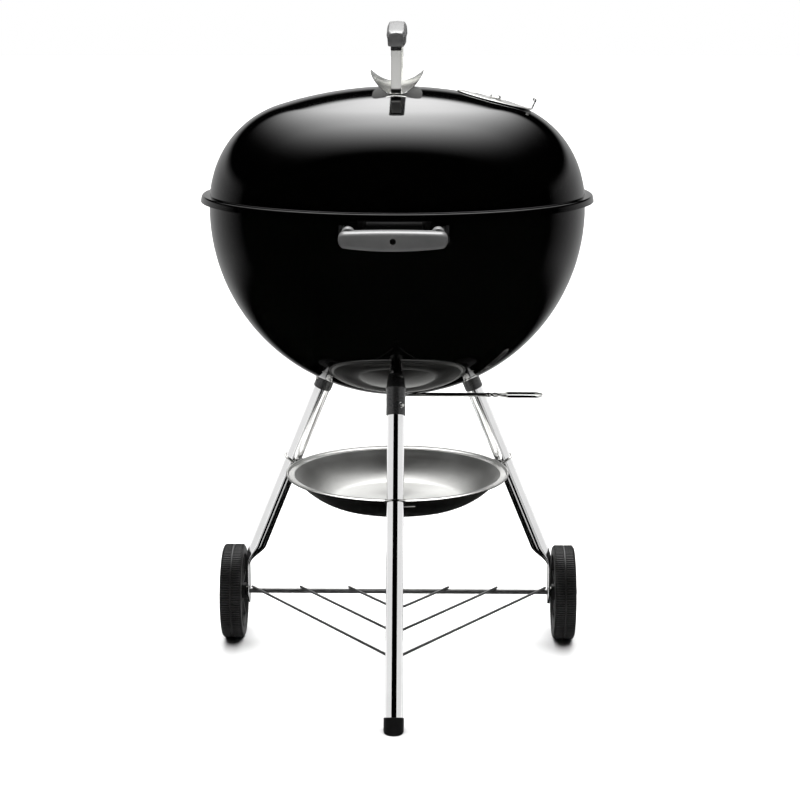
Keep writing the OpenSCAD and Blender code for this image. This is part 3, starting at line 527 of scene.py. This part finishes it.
def shield_arch(y):
    return SHIELD_MID_Z - SHIELD_ARCH_R + sqrt(SHIELD_ARCH_R ** 2 - y * y)


def make_strap():
    """A flat bar bent up from one foot, along under the grip, and down to the other foot."""
    half = STRAP_T / 2
    foot_in_z = shield_arch(FOOT_IN_Y) + 3.2 + half
    foot_out_z = STRAP_LOW.z + half + 1.1
    side = [(FOOT_IN_Y, foot_in_z), (FOOT_Y - 2.4, foot_out_z), (RISER_Y - half, RISER_Z - half)]
    corners = [(0, y, z) for y, z in side] + [(0, -y, z) for y, z in reversed(side)]
    line = bent(corners, 5.0, 8)
    rings = []
    for p, (t, _, _) in zip(line, frames_along(line)):
        n = Vector((0, -t.z, t.y))
        rings.append([p + Vector((u, 0, 0)) + n * v for u, v in round_rect(STRAP_W, STRAP_T, 0.6, 3)])
    new_piece("lid_handle_bar", [loft(rings)], BRUSHED_BAR, "lid", ["lid_handle_strap"], sharp=40)


BRUSHED_BAR = surface("brushed_bar", "plated_steel", (0.74, 0.74, 0.72), (0.66, 0.66, 0.64), 0.3, 1.0, "z",
                      grain=1500, bump=0.12)


def make_grip():
    """An arched grip, wider at its top, with a groove underneath for the bar."""
    end_y, end_z = 92.0, 956.0
    arch = GRIP_HIGH.z - end_z - 22
    radius = (end_y ** 2 + arch ** 2) / (2 * arch)
    stations = [-1 + 2 * i / 48 for i in range(49)]
    groove_x, groove_y = STRAP_W / 2 + 0.2, RISER_Y + 0.6
    rings = []
    for s in stations:
        y = end_y * s
        top = GRIP_HIGH.z - radius + sqrt(radius ** 2 - y * y)
        nose = max(0.0, (abs(s) - 0.955) / 0.045)
        inset = 2.6 * (1 - sqrt(max(0.0, 1 - nose * nose)))
        wide, waist, narrow = 14.0 - inset, 12.6 - inset, 12.0 - inset
        top -= inset
        body = flat_bent([(0, end_z), (narrow, end_z), (waist, top - 12.5), (wide, top - 7), (wide - 3, top - 1),
                          (0, top), (3 - wide, top - 1), (-wide, top - 7), (-waist, top - 12.5), (-narrow, end_z),
                          (-0.001, end_z)], 2.4, 5)
        rings.append([(x, y, z) for x, z in body])
    groove = prism(round_rect(2 * groove_x, 2 * groove_y, 1.0), end_z - 5, RISER_Z + 0.2)
    new_piece("lid_handle_grip_arch", [loft(rings)], GRIP, "lid", ["lid_handle_grip"], sharp=35, cuts=[groove])


def make_shield():
    """A leaf-shaped plate, bent up at its sides and down at its ends."""
    grid, normals = [], []
    for i in range(61):
        y = SHIELD_END_Y * (i / 30 - 1)
        taper = (1 - (abs(y) / SHIELD_END_Y) ** 3) ** 0.7
        half = SHIELD_TIP_W + (SHIELD_HALF_W - SHIELD_TIP_W) * taper
        row, row_normals = [], []
        for j in range(33):
            x = half * (j / 16 - 1)
            across, along = sqrt(SHIELD_DIP_R ** 2 - x * x), sqrt(SHIELD_ARCH_R ** 2 - y * y)
            row.append(Vector((x, y, shield_arch(y) + SHIELD_DIP_R - across + 1.0)))
            row_normals.append(Vector((-x / across, y / along, 1)).normalized())
        grid.append(row)
        normals.append(row_normals)
    new_piece("heat_shield", [sheet(grid, 0.9, normals)], SHIELD_METAL, "lid", ["lid_heat_shield"], sharp=50)


SHIELD_METAL = surface("shield_aluminium", "satin_aluminium", (0.86, 0.86, 0.84), (0.8, 0.8, 0.78), 0.22, 1.0, "y",
                       grain=900, bump=0.1)


# ---------- bowl ----------

def bowl_outline():
    """Outer face up to the rolled bead, and back down the inner face."""
    inner_r = BOWL_R - SHEET
    bead_x, bead_z = BOWL_HIGH.x - BEAD_R, BOWL_HIGH.z - BEAD_R
    outer = arc((0, EQUATOR_Z), BOWL_R, -pi / 2, 0, 90)
    neck = bead_x - BOWL_R
    start = -acos(-neck / BEAD_R) if neck < BEAD_R else -pi / 2
    bead = arc((bead_x, bead_z), BEAD_R, start, pi, 24)
    inner = arc((0, EQUATOR_Z), inner_r, 0, -pi / 2, 60)
    outline = outer + [(BOWL_R, EQUATOR_Z + 6)] + bead + inner
    outline[0], outline[-1] = (0, EQUATOR_Z - BOWL_R), (0, EQUATOR_Z - inner_r)
    return outline


def vent_cutters():
    """Three groups of three slots round the bowl's bottom."""
    inner_end, outer_end, half_w = 64.0, 92.0, 5.5
    cutters = []
    for group in range(3):
        for slot in (-1, 0, 1):
            outline = arc((outer_end, 0), half_w, -pi / 2, pi / 2, 10) + arc((inner_end, 0), half_w, pi / 2, 1.5 * pi, 10)
            shape = prism(outline, EQUATOR_Z - BOWL_R - 10, EQUATOR_Z - BOWL_R + 50)
            cutters.append(moved(shape, turn(radians(50 + 120 * group + 13 * slot), "Z")))
    return cutters


def make_bowl():
    new_piece("bowl", [lathe(bowl_outline(), 288)], ENAMEL, "kettle", ["bowl_shell"], sharp=40, cuts=vent_cutters())


def make_bowl_handle(side, name):
    """A plastic grip with lobes at its ends, on a steel bracket. side is 0 at the front and pi at the rear."""
    half_w, front_y, middle_z = 73.5, 348.0, 707.0
    depth = 23.0
    rings = []
    count = 72
    for i in range(count + 1):
        s = -cos(pi * i / count)
        x = half_w * s
        blunt = max(0.0, (abs(s) - 0.86) / 0.14)
        k = (1 - blunt ** 2.4) ** (1 / 2.4) if blunt < 1 else 0.0
        k = max(k, 0.02)
        low = middle_z - 14.0 + 5.0 * s * s
        high = middle_z + 14.0 - 1.5 * s * s
        mid, half_h = (low + high) / 2, (high - low) / 2
        ring = []
        for u, v in round_rect(depth, 2 * half_h, 6.0, 7):
            front_bulge = 1.0 * (1 - (v / half_h) ** 2) if u < 0 else 0.0
            ring.append((x, -(front_y - depth / 2 - 1.0) + (u * (0.35 + 0.65 * k)) - front_bulge, mid + v * k))
        rings.append(ring)
    lobes = []
    for end in (-1, 1):
        lobe = flat_bent([(0, 0), (8.8, 0), (9.0, 14), (7.2, 19), (0, 19.4)], 3.0)
        lobe[0], lobe[-1] = (0, 0), (0, 19.4)
        lobes.append(moved(lathe(lobe, 40), shift(end * 60.5, -337, middle_z + 9.0) @ turn(-pi / 2, "X")))
    screw_y = -front_y - 2
    hole = moved(lathe([(0, 0), (4.2, 0), (4.2, 10), (0, 10)], 40), shift(0, screw_y, middle_z) @ turn(-pi / 2, "X"))
    turned = turn(side, "Z")
    new_piece(name + "_handle_bar", [loft(rings)] + lobes, GRIP, "kettle", [name + "_handle_grip"],
              place=turned, cuts=[hole])
    make_bracket(name, turned)
    screw = flat_bent([(3.8, 5.0), (3.8, 8.6), (2.2, 8.8)], 0.5, 3)
    recess = [(0, 3.0), (3.8, 3.0)] + screw[1:] + [(2.2, 6.4), (0, 6.4)]
    place = turned @ shift(0, -front_y + 12.6, middle_z) @ turn(pi / 2, "X")
    new_piece(name + "_handle_socket_screw", [lathe(recess, 32)], DARK_SCREW, "kettle", [name + "_handle_screw"],
              place=place)


DARK_SCREW = surface("dark_screw", "dark_wire", grey(0.06), grey(0.03), 0.3, 0.8, grain=700)


def make_bracket(name, turned):
    """A flat steel strip bent into a U, standing on the bowl, with its feet spread along the bowl."""
    x, front, wall = 68.0, 330.0, sqrt(BOWL_R ** 2 - 68.0 ** 2)
    line = bent([(-x - 9, -(wall - 4.5), 0), (-x, -(wall + 1.5), 0), (-x, -front, 0), (x, -front, 0),
                 (x, -(wall + 1.5), 0), (x + 9, -(wall - 4.5), 0)], 5.0, 8)
    rings = []
    for p, (t, _, _) in zip(line, frames_along(line)):
        n = Vector((-t.y, t.x, 0))
        rings.append([p + n * u + Vector((0, 0, 708.0 + v)) for u, v in round_rect(2.6, 25.0, 0.6, 3)])
    new_piece(name + "_handle_strip", [loft(rings)], SOCKET_ENAMEL, "kettle", [name + "_handle_bracket"],
              place=turned, sharp=40)


# ---------- legs ----------

LEGS = (("front", -pi / 2, -pi / 2), ("right", REAR_SOCKET_AZ, REAR_LEG_AZ),
        ("left", pi - REAR_SOCKET_AZ, pi - REAR_LEG_AZ))
BUTTON_UP, BUTTON_TURN = 14.0, radians(40)


def at_leg(azimuth, heading):
    """A leg's own frame: its origin is at the socket's lower end, Z runs up the leg and X points outward."""
    place = shift(SOCKET_AXIS_R * cos(azimuth), SOCKET_AXIS_R * sin(azimuth), SOCKET_Z)
    return place @ turn(heading, "Z") @ turn(-SPLAY, "Y")


def ring(r, z, steps=64):
    return [Vector((r * cos(2 * pi * i / steps), r * sin(2 * pi * i / steps), z)) for i in range(steps)]


def trimmed(place, r, depth, steps=96):
    """A socket's upper ring: each side line runs up to a depth inside the bowl's outer face."""
    centre = place.inverted() @ Vector((0, 0, EQUATOR_Z))
    points = []
    for p in ring(r, 0, steps):
        x, y = p.x - centre.x, p.y - centre.y
        points.append(Vector((p.x, p.y, centre.z - sqrt((BOWL_R - depth) ** 2 - x * x - y * y))))
    return points


def make_socket(name, place):
    outer, inner = 14.2, 12.8
    low, high = trimmed(place, outer, -3.0), trimmed(place, outer, 0.8)
    flared = [Vector((p.x * 1.11, p.y * 1.11, q.z)) for p, q in zip(high, high)]
    rings = [ring(outer - 0.5, 0, 96), ring(outer - 0.1, 0.3, 96), ring(outer, 0.9, 96)]
    rings += [low, [a.lerp(b, 0.6) for a, b in zip(low, flared)], flared]
    rings += [trimmed(place, inner, 0.8), ring(inner, 0.6, 96), ring(inner + 0.3, 0, 96)]
    hole = moved(lathe([(0, 8), (4.5, 8), (4.5, 30), (0, 30)], 40),
                 shift(0, 0, BUTTON_UP) @ turn(BUTTON_TURN, "Z") @ turn(pi / 2, "Y"))
    new_piece(name + "_socket", [loft(rings, closed=True)], SOCKET_ENAMEL, "kettle", [name + "_leg_socket"],
              place=place, sharp=40, cuts=[hole])


def make_button(name, place):
    """A domed pin with a leaf inside the leg."""
    dome = [(0, 17.0)] + arc((0, 11.0), 6.0, radians(75), radians(56), 6) + [(3.45, 15.2), (3.5, 14.6), (3.5, 9.6)]
    pin = lathe(dome + [(4.3, 9.6), (4.3, 8.7), (0, 8.7)], 40)
    pin = moved(pin, turn(pi / 2, "Y"))
    turned = place @ shift(0, 0, BUTTON_UP) @ turn(BUTTON_TURN, "Z")
    blade = moved(prism(round_rect(35, 7, 1.5), 0, 0.8), shift(8.6, 0, -20.5) @ turn(pi / 2, "Y"))
    new_piece(name + "_button_pin", [pin, blade], PLATED, "button_" + name, [name + "_snap_button"], place=turned)


def make_front_leg(place):
    low = -SOCKET_Z / cos(SPLAY) + 10.5
    r, bore = LEG_R, LEG_R - LEG_WALL
    rings = [ring(r - 0.3, low), ring(r, low + 0.4)]
    rings += [ring(r, low + (LEG_TOP - low) * k / 12) for k in range(1, 12)]
    rings += [ring(r, LEG_TOP - 0.4), ring(r - 0.3, LEG_TOP), ring(bore, LEG_TOP), ring(bore, low)]
    hole = moved(lathe([(0, 0), (3.55, 0), (3.55, 30), (0, 30)], 40),
                 shift(0, 0, BUTTON_UP) @ turn(BUTTON_TURN, "Z") @ turn(pi / 2, "Y"))
    new_piece("front_leg_tube", [loft(rings, closed=True)], CHROME, "kettle", ["front_leg"], place=place, cuts=[hole])


def make_rear_leg(name, place, side):
    """A tube whose lower end is pressed into an upright plate with a round end, for the axle."""
    plate_x, half_t, half_w = side * 244.3, 2.1, 19.0
    steps, squeeze = 64, 14
    start_z, plate_top = 160.0, 118.0
    back = place.inverted()
    tube_low = -(SOCKET_Z - start_z) / cos(SPLAY)
    rings = [ring(LEG_R, LEG_TOP + (tube_low - LEG_TOP) * k / 10) for k in range(11)]
    circle = [place @ p for p in ring(LEG_R, tube_low)]
    middle = place @ Vector((0, 0, tube_low))
    wide = Vector((0, 1, 0))
    across = Vector((side, 0, 0))
    start_angles = [atan2((p - middle).dot(wide), (p - middle).dot(across)) for p in circle]

    def plate_ring(z, w, t):
        """A flat oval round the plate's middle, with its points in the tube's order."""
        points = []
        for a in start_angles:
            points.append(Vector((plate_x + side * t * squash_out(cos(a), 3), AXLE.y + w * squash_out(sin(a), 1.25), z)))
        return points

    for k in range(1, squeeze + 1):
        s = k / squeeze
        ease = s * s * (3 - 2 * s)
        drop = place @ Vector((0, 0, tube_low - (start_z - plate_top) * s / cos(SPLAY)))
        flat = plate_ring(drop.z, half_w, half_t)
        mixed = [(p + (drop - middle)).lerp(q, ease) for p, q in zip(circle, flat)]
        rings.append([back @ p for p in mixed])
    low_z = AXLE.z - half_w
    for k in range(1, 25):
        s = k / 24
        z = plate_top - (plate_top - low_z) * sin(s * pi / 2)
        fall = max(0.0, AXLE.z - z)
        w = sqrt(max(0.3, half_w ** 2 - fall ** 2))
        rings.append([back @ p for p in plate_ring(z, w, half_t)])
    bore = moved(lathe([(0, -9), (4.1, -9), (4.1, 9), (0, 9)], 40),
                 back @ shift(plate_x, AXLE.y, AXLE.z) @ turn(pi / 2, "Y"))
    hole = moved(lathe([(0, 0), (3.55, 0), (3.55, 30), (0, 30)], 40),
                 shift(0, 0, BUTTON_UP) @ turn(BUTTON_TURN, "Z") @ turn(pi / 2, "Y"))
    new_piece(name + "_leg_tube", [loft(rings)], CHROME, "kettle", [name + "_leg"], place=place, sharp=40,
              cuts=[bore, hole])


def squash_out(value, power):
    """Pushes a cosine towards -1 or 1, so that an oval becomes nearly a rectangle."""
    return (abs(value) ** (1 / power)) * (1 if value > 0 else -1)


def make_foot_cap(place):
    """A black cap whose lower end is level with the ground."""
    r, steps = 14.6, 64
    foot = -SOCKET_Z / cos(SPLAY)
    top = foot + 21.0

    def level(radius, z):
        points = []
        for p in ring(radius, 0, steps):
            a, b = place @ p, place @ (p + Vector((0, 0, 1)))
            k = (z - a.z) / (b.z - a.z)
            points.append(a.lerp(b, k))
        return points

    rings = [[place @ p for p in ring(q, z, steps)] for q, z in
             ((12.75, top - 6), (12.75, top), (r - 0.9, top), (r - 0.25, top - 0.35), (r, top - 1.2))]
    rings += [level(r, 3.0), level(r - 0.3, 1.2), level(r - 1.1, 0.3), level(r - 2.4, 0.0)]
    new_piece("foot_cap", [loft(rings)], BLACK, "kettle", ["front_foot_cap"], sharp=40)


def make_legs():
    for name, azimuth, heading in LEGS:
        place = at_leg(azimuth, heading)
        make_socket(name, place)
        make_button(name, place)
        if name == "front":
            make_front_leg(place)
            make_foot_cap(place)
        else:
            make_rear_leg(name, place, 1 if name == "right" else -1)


# ---------- ash pan ----------

def make_pan():
    step_r, flat_r, thick, wall_r = 159.0, 103.0, 1.2, 115.0
    rim_r = PAN_HIGH.x - 2.0
    step_z, floor_z = PAN_Z - 1.6, PAN_LOW.z + thick
    run, rise = step_r - flat_r, step_z - floor_z
    lean, spread = atan2(rise, run), asin(hypot(run, rise) / 2 / wall_r)
    centre = (flat_r - wall_r * sin(lean - spread), floor_z + wall_r * cos(lean - spread))
    first, last = -pi / 2 + lean - spread, -pi / 2 + lean + spread
    wall = arc(centre, wall_r, first, last, 28)
    under = arc(centre, wall_r + thick, first, last, 28)
    brim = flat_bent([wall[-2], (step_r + 0.6, step_z + 0.4), (step_r + 2.2, step_z), (rim_r - 2.6, step_z - 0.4)], 1.2, 4)
    bead = arc((rim_r, PAN_Z), 2.0, radians(150), radians(-120), 16)
    outline = [(0, floor_z), (flat_r - 2, floor_z), (flat_r, floor_z + 0.35)] + wall[2:-2] + brim[1:] + bead
    outline += [(rim_r - 2.0, step_z - 1.7), (step_r + 1.5, step_z - thick)] + list(reversed(under))[2:-2]
    outline += [(flat_r, floor_z - thick + 0.3), (flat_r - 2, floor_z - thick), (0, floor_z - thick)]
    slot = moved(prism(round_rect(29, 2.4, 1.1), -30, 30), shift(14.5, -PAN_HIGH.x + 20, PAN_Z - 15.8) @ turn(pi / 2, "X"))
    new_piece("ash_catcher", [lathe(outline, 240)], SPUN, "kettle", ["ash_pan"], sharp=50, cuts=[slot])


def leg_point(azimuth, heading, z):
    out = (SOCKET_Z - z) * tan(SPLAY)
    return Vector((SOCKET_AXIS_R * cos(azimuth) + out * cos(heading), SOCKET_AXIS_R * sin(azimuth) + out * sin(heading), z))


def make_clips():
    """A wire bent round each leg, with its ends under the pan's brim."""
    wire_r, clip_z, tip_z = 1.5, PAN_Z + 3.1, PAN_Z - 4.4
    for name, azimuth, heading in LEGS:
        p = leg_point(azimuth, heading, clip_z)
        facing = atan2(p.y, p.x)
        loop_r = LEG_R + wire_r + 0.3
        place = shift(p.x, p.y, p.z) @ turn(facing, "Z")
        tilt = turn(-SPLAY, "Y")
        back = [tilt @ Vector((loop_r * cos(a), loop_r * sin(a), 0)) for a in
                [-pi / 2 + pi * k / 24 for k in range(25)]]
        ends = [Vector((-11, -loop_r, tip_z - clip_z)), Vector((-25, -loop_r, tip_z - clip_z))]
        start = bent([ends[1], ends[0], back[0]], 3.0, 5)
        finish = [Vector((q.x, -q.y, q.z)) for q in reversed(start)]
        wire = tube(start + back[1:-1] + finish, wire_r, 16)
        new_piece(name + "_clip_wire", [wire], PLATED, "kettle", [name + "_pan_clip"], place=place, sharp=45)


# ---------- wheels and rack ----------

def wheel_shapes(width, radius, hub_in):
    """Z runs outward along the axle from the wheel's inner face."""
    ribs, rib_h = 120, 1.25
    seam = width / 2
    half_seam = 1.3
    edge = [(0.2, 4.2, 4.2), (0.9, 2.7, 2.9), (1.9, 1.3, 2.2), (3.2, 0.25, 1.6), (4.2, 0, rib_h)]
    inner_half = [(z, radius - a, radius - b) for z, a, b in edge]
    inner_half += [(seam - half_seam - 0.9, radius, radius - rib_h), (seam - half_seam - 0.4, radius - 0.9, radius - rib_h),
                   (seam - half_seam, radius - 0.5, radius - 0.5), (seam - half_seam + 0.5, radius - 0.05, radius - 0.05)]
    outer_half = [(width - z, a, b) for z, a, b in reversed(inner_half)]
    rows = [(0.9, 68, 68), (0.2, 69.5, 69.5)] + inner_half + outer_half + [(width - 0.2, 69.5, 69.5), (width - 0.9, 68, 68)]
    profile_count = 4
    rings = []
    for step in range(ribs * profile_count):
        a = 2 * pi * step / (ribs * profile_count)
        on_rib = step % profile_count in (1, 2)
        radii = [(z, high if on_rib else low) for z, high, low in rows]
        rings.append([(r * cos(a), r * sin(a), z) for z, r in radii])
    tread = loft(rings, closed=True)
    rim_in, web_t, hub_r = 60.0, 5.0, 13.0
    mid = width / 2
    body = [(4.06, hub_in), (hub_r - 1.0, hub_in), (hub_r, hub_in + 1.0), (hub_r + 0.8, mid - web_t / 2 - 1.5),
            (hub_r + 2.5, mid - web_t / 2), (rim_in - 3, mid - web_t / 2), (rim_in - 1, mid - web_t / 2 - 1.5),
            (rim_in, 1.6), (rim_in + 1.2, 0.5), (69.8, 0.5), (70.5, 2.0), (70.5, width - 2.0), (69.8, width - 0.5),
            (rim_in + 1.2, width - 0.5), (rim_in, width - 1.6), (rim_in - 1, mid + web_t / 2 + 1.5),
            (rim_in - 3, mid + web_t / 2), (hub_r + 2.5, mid + web_t / 2), (hub_r + 0.8, mid + web_t / 2 + 1.5),
            (hub_r, width - 1.0), (hub_r - 1.0, width), (4.06, width)]
    shapes = [tread, lathe(body, 160)]
    spokes = 10
    for i in range(spokes):
        bar = [(hub_r - 2, 5.0), (rim_in + 1, 3.6), (rim_in + 1, width - 3.6), (hub_r - 2, width - 5.0)]
        plate = loft([[(x, y, z) for x, z in bar] for y in (-1.5, 1.5)])
        shapes.append(moved(plate, turn(2 * pi * i / spokes, "Z")))
    return shapes


def make_wheels():
    low, high = node_box("right_wheel")
    width, radius = high.x - 250.7, (high.z - low.z) / 2
    middle_x = 250.7 + width / 2
    hub_in = low.x - 250.7
    for name, side in (("right", 1), ("left", -1)):
        place = shift(side * (middle_x - width / 2), AXLE.y, AXLE.z) @ turn(side * pi / 2, "Y")
        new_piece(name + "_wheel_ribbed", wheel_shapes(width, radius, hub_in), WHEEL, "wheel_" + name,
                          [name + "_wheel"], place=place, sharp=28)


RACK_HALF_W, RACK_APEX, RACK_WIRE_R = 237.0, 377.0, 2.0
RACK_WIRES = ("inner", "middle", "outer")


def make_rack():
    """Nested wires bent to a point towards the front leg, lying on the axle, and one wire under them."""
    place = shift(0, AXLE.y, AXLE.z + 4 + RACK_WIRE_R + 0.1) @ turn(-radians(2), "X")
    for i, name in enumerate(RACK_WIRES, 1):
        half_w, apex = RACK_HALF_W * i / len(RACK_WIRES), RACK_APEX * i / len(RACK_WIRES)
        half = atan2(half_w, apex)
        tip = Vector((half_w + 4 * sin(half), 4 * cos(half), 0))
        line = bent([(-tip.x, tip.y, 0), (0, -apex, 0), (tip.x, tip.y, 0)], 15, 16)
        new_piece("rack_bend_" + name, [tube(line, RACK_WIRE_R, 16)], DARK_WIRE, "kettle",
                  ["rack_" + name + "_wire"], place=place, sharp=50)
    low = -2 * RACK_WIRE_R - 0.05
    straight = rod((0, -RACK_APEX - 3, low), (0, -14, low), RACK_WIRE_R, 16)
    new_piece("rack_straight", [straight], DARK_WIRE, "kettle", ["rack_centre_wire"], place=place, sharp=50)


# ---------- vent lever ----------

def make_lever():
    """A rod from the shaft; its outer end is two strands, twisted once and opened into a loop."""
    z, end, loop_len, half_w, wire = 426.6, 224.0, 68.0, 12.5, 2.2
    loop_in = end - loop_len
    boss = flat_bent([(0, -3.1), (10, -3.1), (10, 3.1), (0, 3.1)], 0.8, 3)
    boss[0], boss[-1] = (0, -3.1), (0, 3.1)
    shapes = [lathe(boss, 48), rod((8, 0, 0), (loop_in - 14, 0, 0), 3.1, 24)]
    twist_from, twist_len = loop_in - 20, 20.0
    for strand in (0, 1):
        line = []
        for k in range(25):
            a = pi * strand + 2 * pi * k / 24
            line.append(Vector((twist_from + twist_len * k / 24, 1.5 * cos(a), 1.5 * sin(a))))
        side = 1 if strand == 0 else -1
        run = bent([line[-1], (loop_in + 12, side * half_w, 0), (end - half_w - wire, side * half_w, 0)], 9, 8)
        shapes.append(tube(line[:-1] + run, wire, 18))
    cx = end - half_w - wire
    turn_line = [Vector((cx + half_w * sin(a), -half_w * cos(a), 0)) for a in [pi * k / 24 for k in range(25)]]
    shapes.append(tube(turn_line, wire, 18))
    new_piece("sweeper_lever", shapes, LEVER_METAL, "sweeper", ["vent_lever"], place=shift(0, 0, z), sharp=45)


LEVER_METAL = surface("lever_steel", "plated_steel", (0.72, 0.72, 0.7), (0.6, 0.6, 0.58), 0.18, 1.0, "x", grain=900)


# ---------- pieces that keep their CAD shape ----------

KEPT = {
    BLACK: ["lid_handle_collars"],
    PLATED: ["lid_handle_bolts", "lid_handle_nuts", "lid_handle_screws", "axle_washers", "right_hub_cap",
             "left_hub_cap", "vent_shaft", "vent_lever_nut", "front_button_spring", "right_button_spring",
             "left_button_spring"],
    DARK_WIRE: ["axle"],
    GRATE: ["cooking_grate"],
    CAST: ["charcoal_grate"],
    BRUSHED: ["vent_blades"],
    ENAMEL: ["cooking_grate_brackets", "charcoal_grate_tabs"],
}


def dress_kept_nodes():
    for (_, made), names in KEPT.items():
        for name in names:
            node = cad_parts[name]
            node.data.materials.clear()
            node.data.materials.append(made)


# ---------- studio ----------

def make_floor():
    floor = new_object("studio_floor", [prism(round_rect(60000, 60000, 10), -20, 0)])
    made = bpy.data.materials.new("studio_floor")
    made.use_nodes = True
    graph = Graph(made.node_tree)
    place = graph.add("ShaderNodeTexCoord").outputs["Object"]
    tone = graph.mix(graph.noise(place, 3.0), grey(0.86), grey(0.88))
    shader = graph.add("ShaderNodeBsdfPrincipled", {"Base Color": tone, "Roughness": 1.0, "Specular IOR Level": 0.0})
    graph.set(graph.add("ShaderNodeOutputMaterial").inputs["Surface"], shader.outputs[0])
    floor.data.materials.append(made)
    floor.visible_glossy = False


def make_world():
    """A white studio. The camera sees plain white; the object is lit by a wide overhead softbox and low panels."""
    world = bpy.data.worlds.new("studio")
    bpy.context.scene.world = world
    world.use_nodes = True
    graph = Graph(world.node_tree)
    direction = graph.add("ShaderNodeTexCoord").outputs["Generated"]
    x, y, z = graph.add("ShaderNodeSeparateXYZ", {0: direction}).outputs
    height = graph.math("MAXIMUM", z, 0.03)
    u, v = graph.math("DIVIDE", x, height), graph.math("DIVIDE", y, height)
    wide = graph.math("DIVIDE", u, 0.55)
    fall = graph.math("MULTIPLY", graph.math("MULTIPLY", wide, wide), -1)
    parts = [graph.math("EXPONENT", fall), graph.ramp(v, -0.38, 0.5), graph.ramp(v, 0.5, 1.9, 1, 0.56, "LINEAR"),
             graph.ramp(v, 1.95, 2.5, 1, 0), graph.ramp(z, 0.02, 0.06), 5.8]
    box = graph.product(parts)
    flat = graph.math("SQRT", graph.math("ADD", graph.math("MULTIPLY", x, x), graph.math("MULTIPLY", y, y)))
    behind = graph.math("DIVIDE", y, graph.math("MAXIMUM", flat, 0.001))
    parts = [graph.ramp(behind, 0.276, 0.866, kind="LINEAR"), graph.ramp(z, -0.48, -0.28),
             graph.ramp(z, 0.12, 0.24, 1, 0), 0.45]
    level = graph.math("ADD", box, graph.product(parts))
    lit = graph.add("ShaderNodeBackground", {"Strength": level})
    seen = graph.add("ShaderNodeBackground", {"Color": (1, 1, 1, 1), "Strength": 1.0})
    lit.inputs["Color"].default_value = (1, 1, 1, 1)
    to_camera = graph.add("ShaderNodeLightPath").outputs["Is Camera Ray"]
    mixed = graph.add("ShaderNodeMixShader", {0: to_camera, 1: lit.outputs[0], 2: seen.outputs[0]})
    graph.set(graph.add("ShaderNodeOutputWorld").inputs["Surface"], mixed.outputs[0])


def linked_light(name, data, place, receivers, blockers=()):
    """A light that reaches only the receivers; only the blockers throw shadows in it."""
    light = bpy.data.objects.new(name, data)
    light.matrix_world = place
    light.visible_camera = False
    bpy.context.scene.collection.objects.link(light)
    groups = []
    for role, names in (("receivers", receivers), ("blockers", blockers)):
        group = bpy.data.collections.new(name + "_" + role)
        for piece in names:
            group.objects.link(bpy.data.objects[piece])
        groups.append(group)
    light.light_linking.receiver_collection, light.light_linking.blocker_collection = groups


def panel(name, width, height, radiance):
    """A flat light that shines along its own -Z."""
    data = bpy.data.lights.new(name, "AREA")
    data.shape, data.size, data.size_y = "RECTANGLE", width, height
    data.energy = radiance * pi * width * height
    return data


def wide_light(name, strength, angle):
    """A far light that fills a cone of that angle, in degrees."""
    data = bpy.data.lights.new(name, "SUN")
    data.energy, data.angle = strength, radians(angle)
    return data


def make_lights():
    """Sky light for the floor, side panels that show in the bright metal, and a front panel for the bar."""
    linked_light("floor_sky", wide_light("floor_sky", 3.4, 70), Matrix.Identity(4), ["studio_floor"],
                 ["right_wheel_ribbed", "left_wheel_ribbed", "foot_cap"])
    bright = [n + end for n in ("front", "right", "left")
              for end in ("_leg_tube", "_socket", "_button_pin", "_clip_wire")] + ["sweeper_lever"]
    for name, side in (("right", 1), ("left", -1)):
        place = shift(side * 3.0 + 0.3, 0.4, 1.0) @ turn(side * pi / 2, "Y")
        linked_light(name + "_panel", panel(name + "_panel", 6.0, 9.6, 0.9), place, bright)
        place = shift(side * 1.65, -3.4, -0.5) @ turn(pi / 2, "X")
        linked_light(name + "_leg_panel", panel(name + "_leg_panel", 1.5, 6.0, 0.65), place,
                     ["right_leg_tube", "left_leg_tube"])
    place = shift(0, -3.6, 2.2) @ turn(radians(70), "X")
    linked_light("bar_panel", panel("bar_panel", 4.4, 3.0, 0.8), place, ["lid_handle_bar"])
    dome = wide_light("front_dome", 20.0, 140)
    linked_light("front_dome", dome, turn(radians(80), "X"), ["heat_shield", "damper_rivet", "ash_catcher"])
    linked_light("grip_sky", wide_light("grip_sky", 10.0, 30), Matrix.Identity(4),
                 ["lid_handle_grip_arch", "front_handle_bar"])


def make_camera():
    data = bpy.data.cameras.new("camera")
    data.lens, data.sensor_width = 85.45, 36.0
    camera = bpy.data.objects.new("camera", data)
    camera.location = (0.0500, -2.8626, 1.0279)
    camera.rotation_euler = (radians(90 - 12.03), 0, radians(0.92))
    bpy.context.scene.collection.objects.link(camera)
    bpy.context.scene.camera = camera


make_camera()
make_lid()
make_damper()
make_strap()
make_grip()
make_shield()
make_bowl()
make_bowl_handle(0, "front")
make_bowl_handle(pi, "rear")
make_legs()
make_pan()
make_clips()
make_wheels()
make_rack()
make_lever()
dress_kept_nodes()
make_floor()
make_world()
make_lights()
bpy.context.scene.view_settings.view_transform = "Standard"
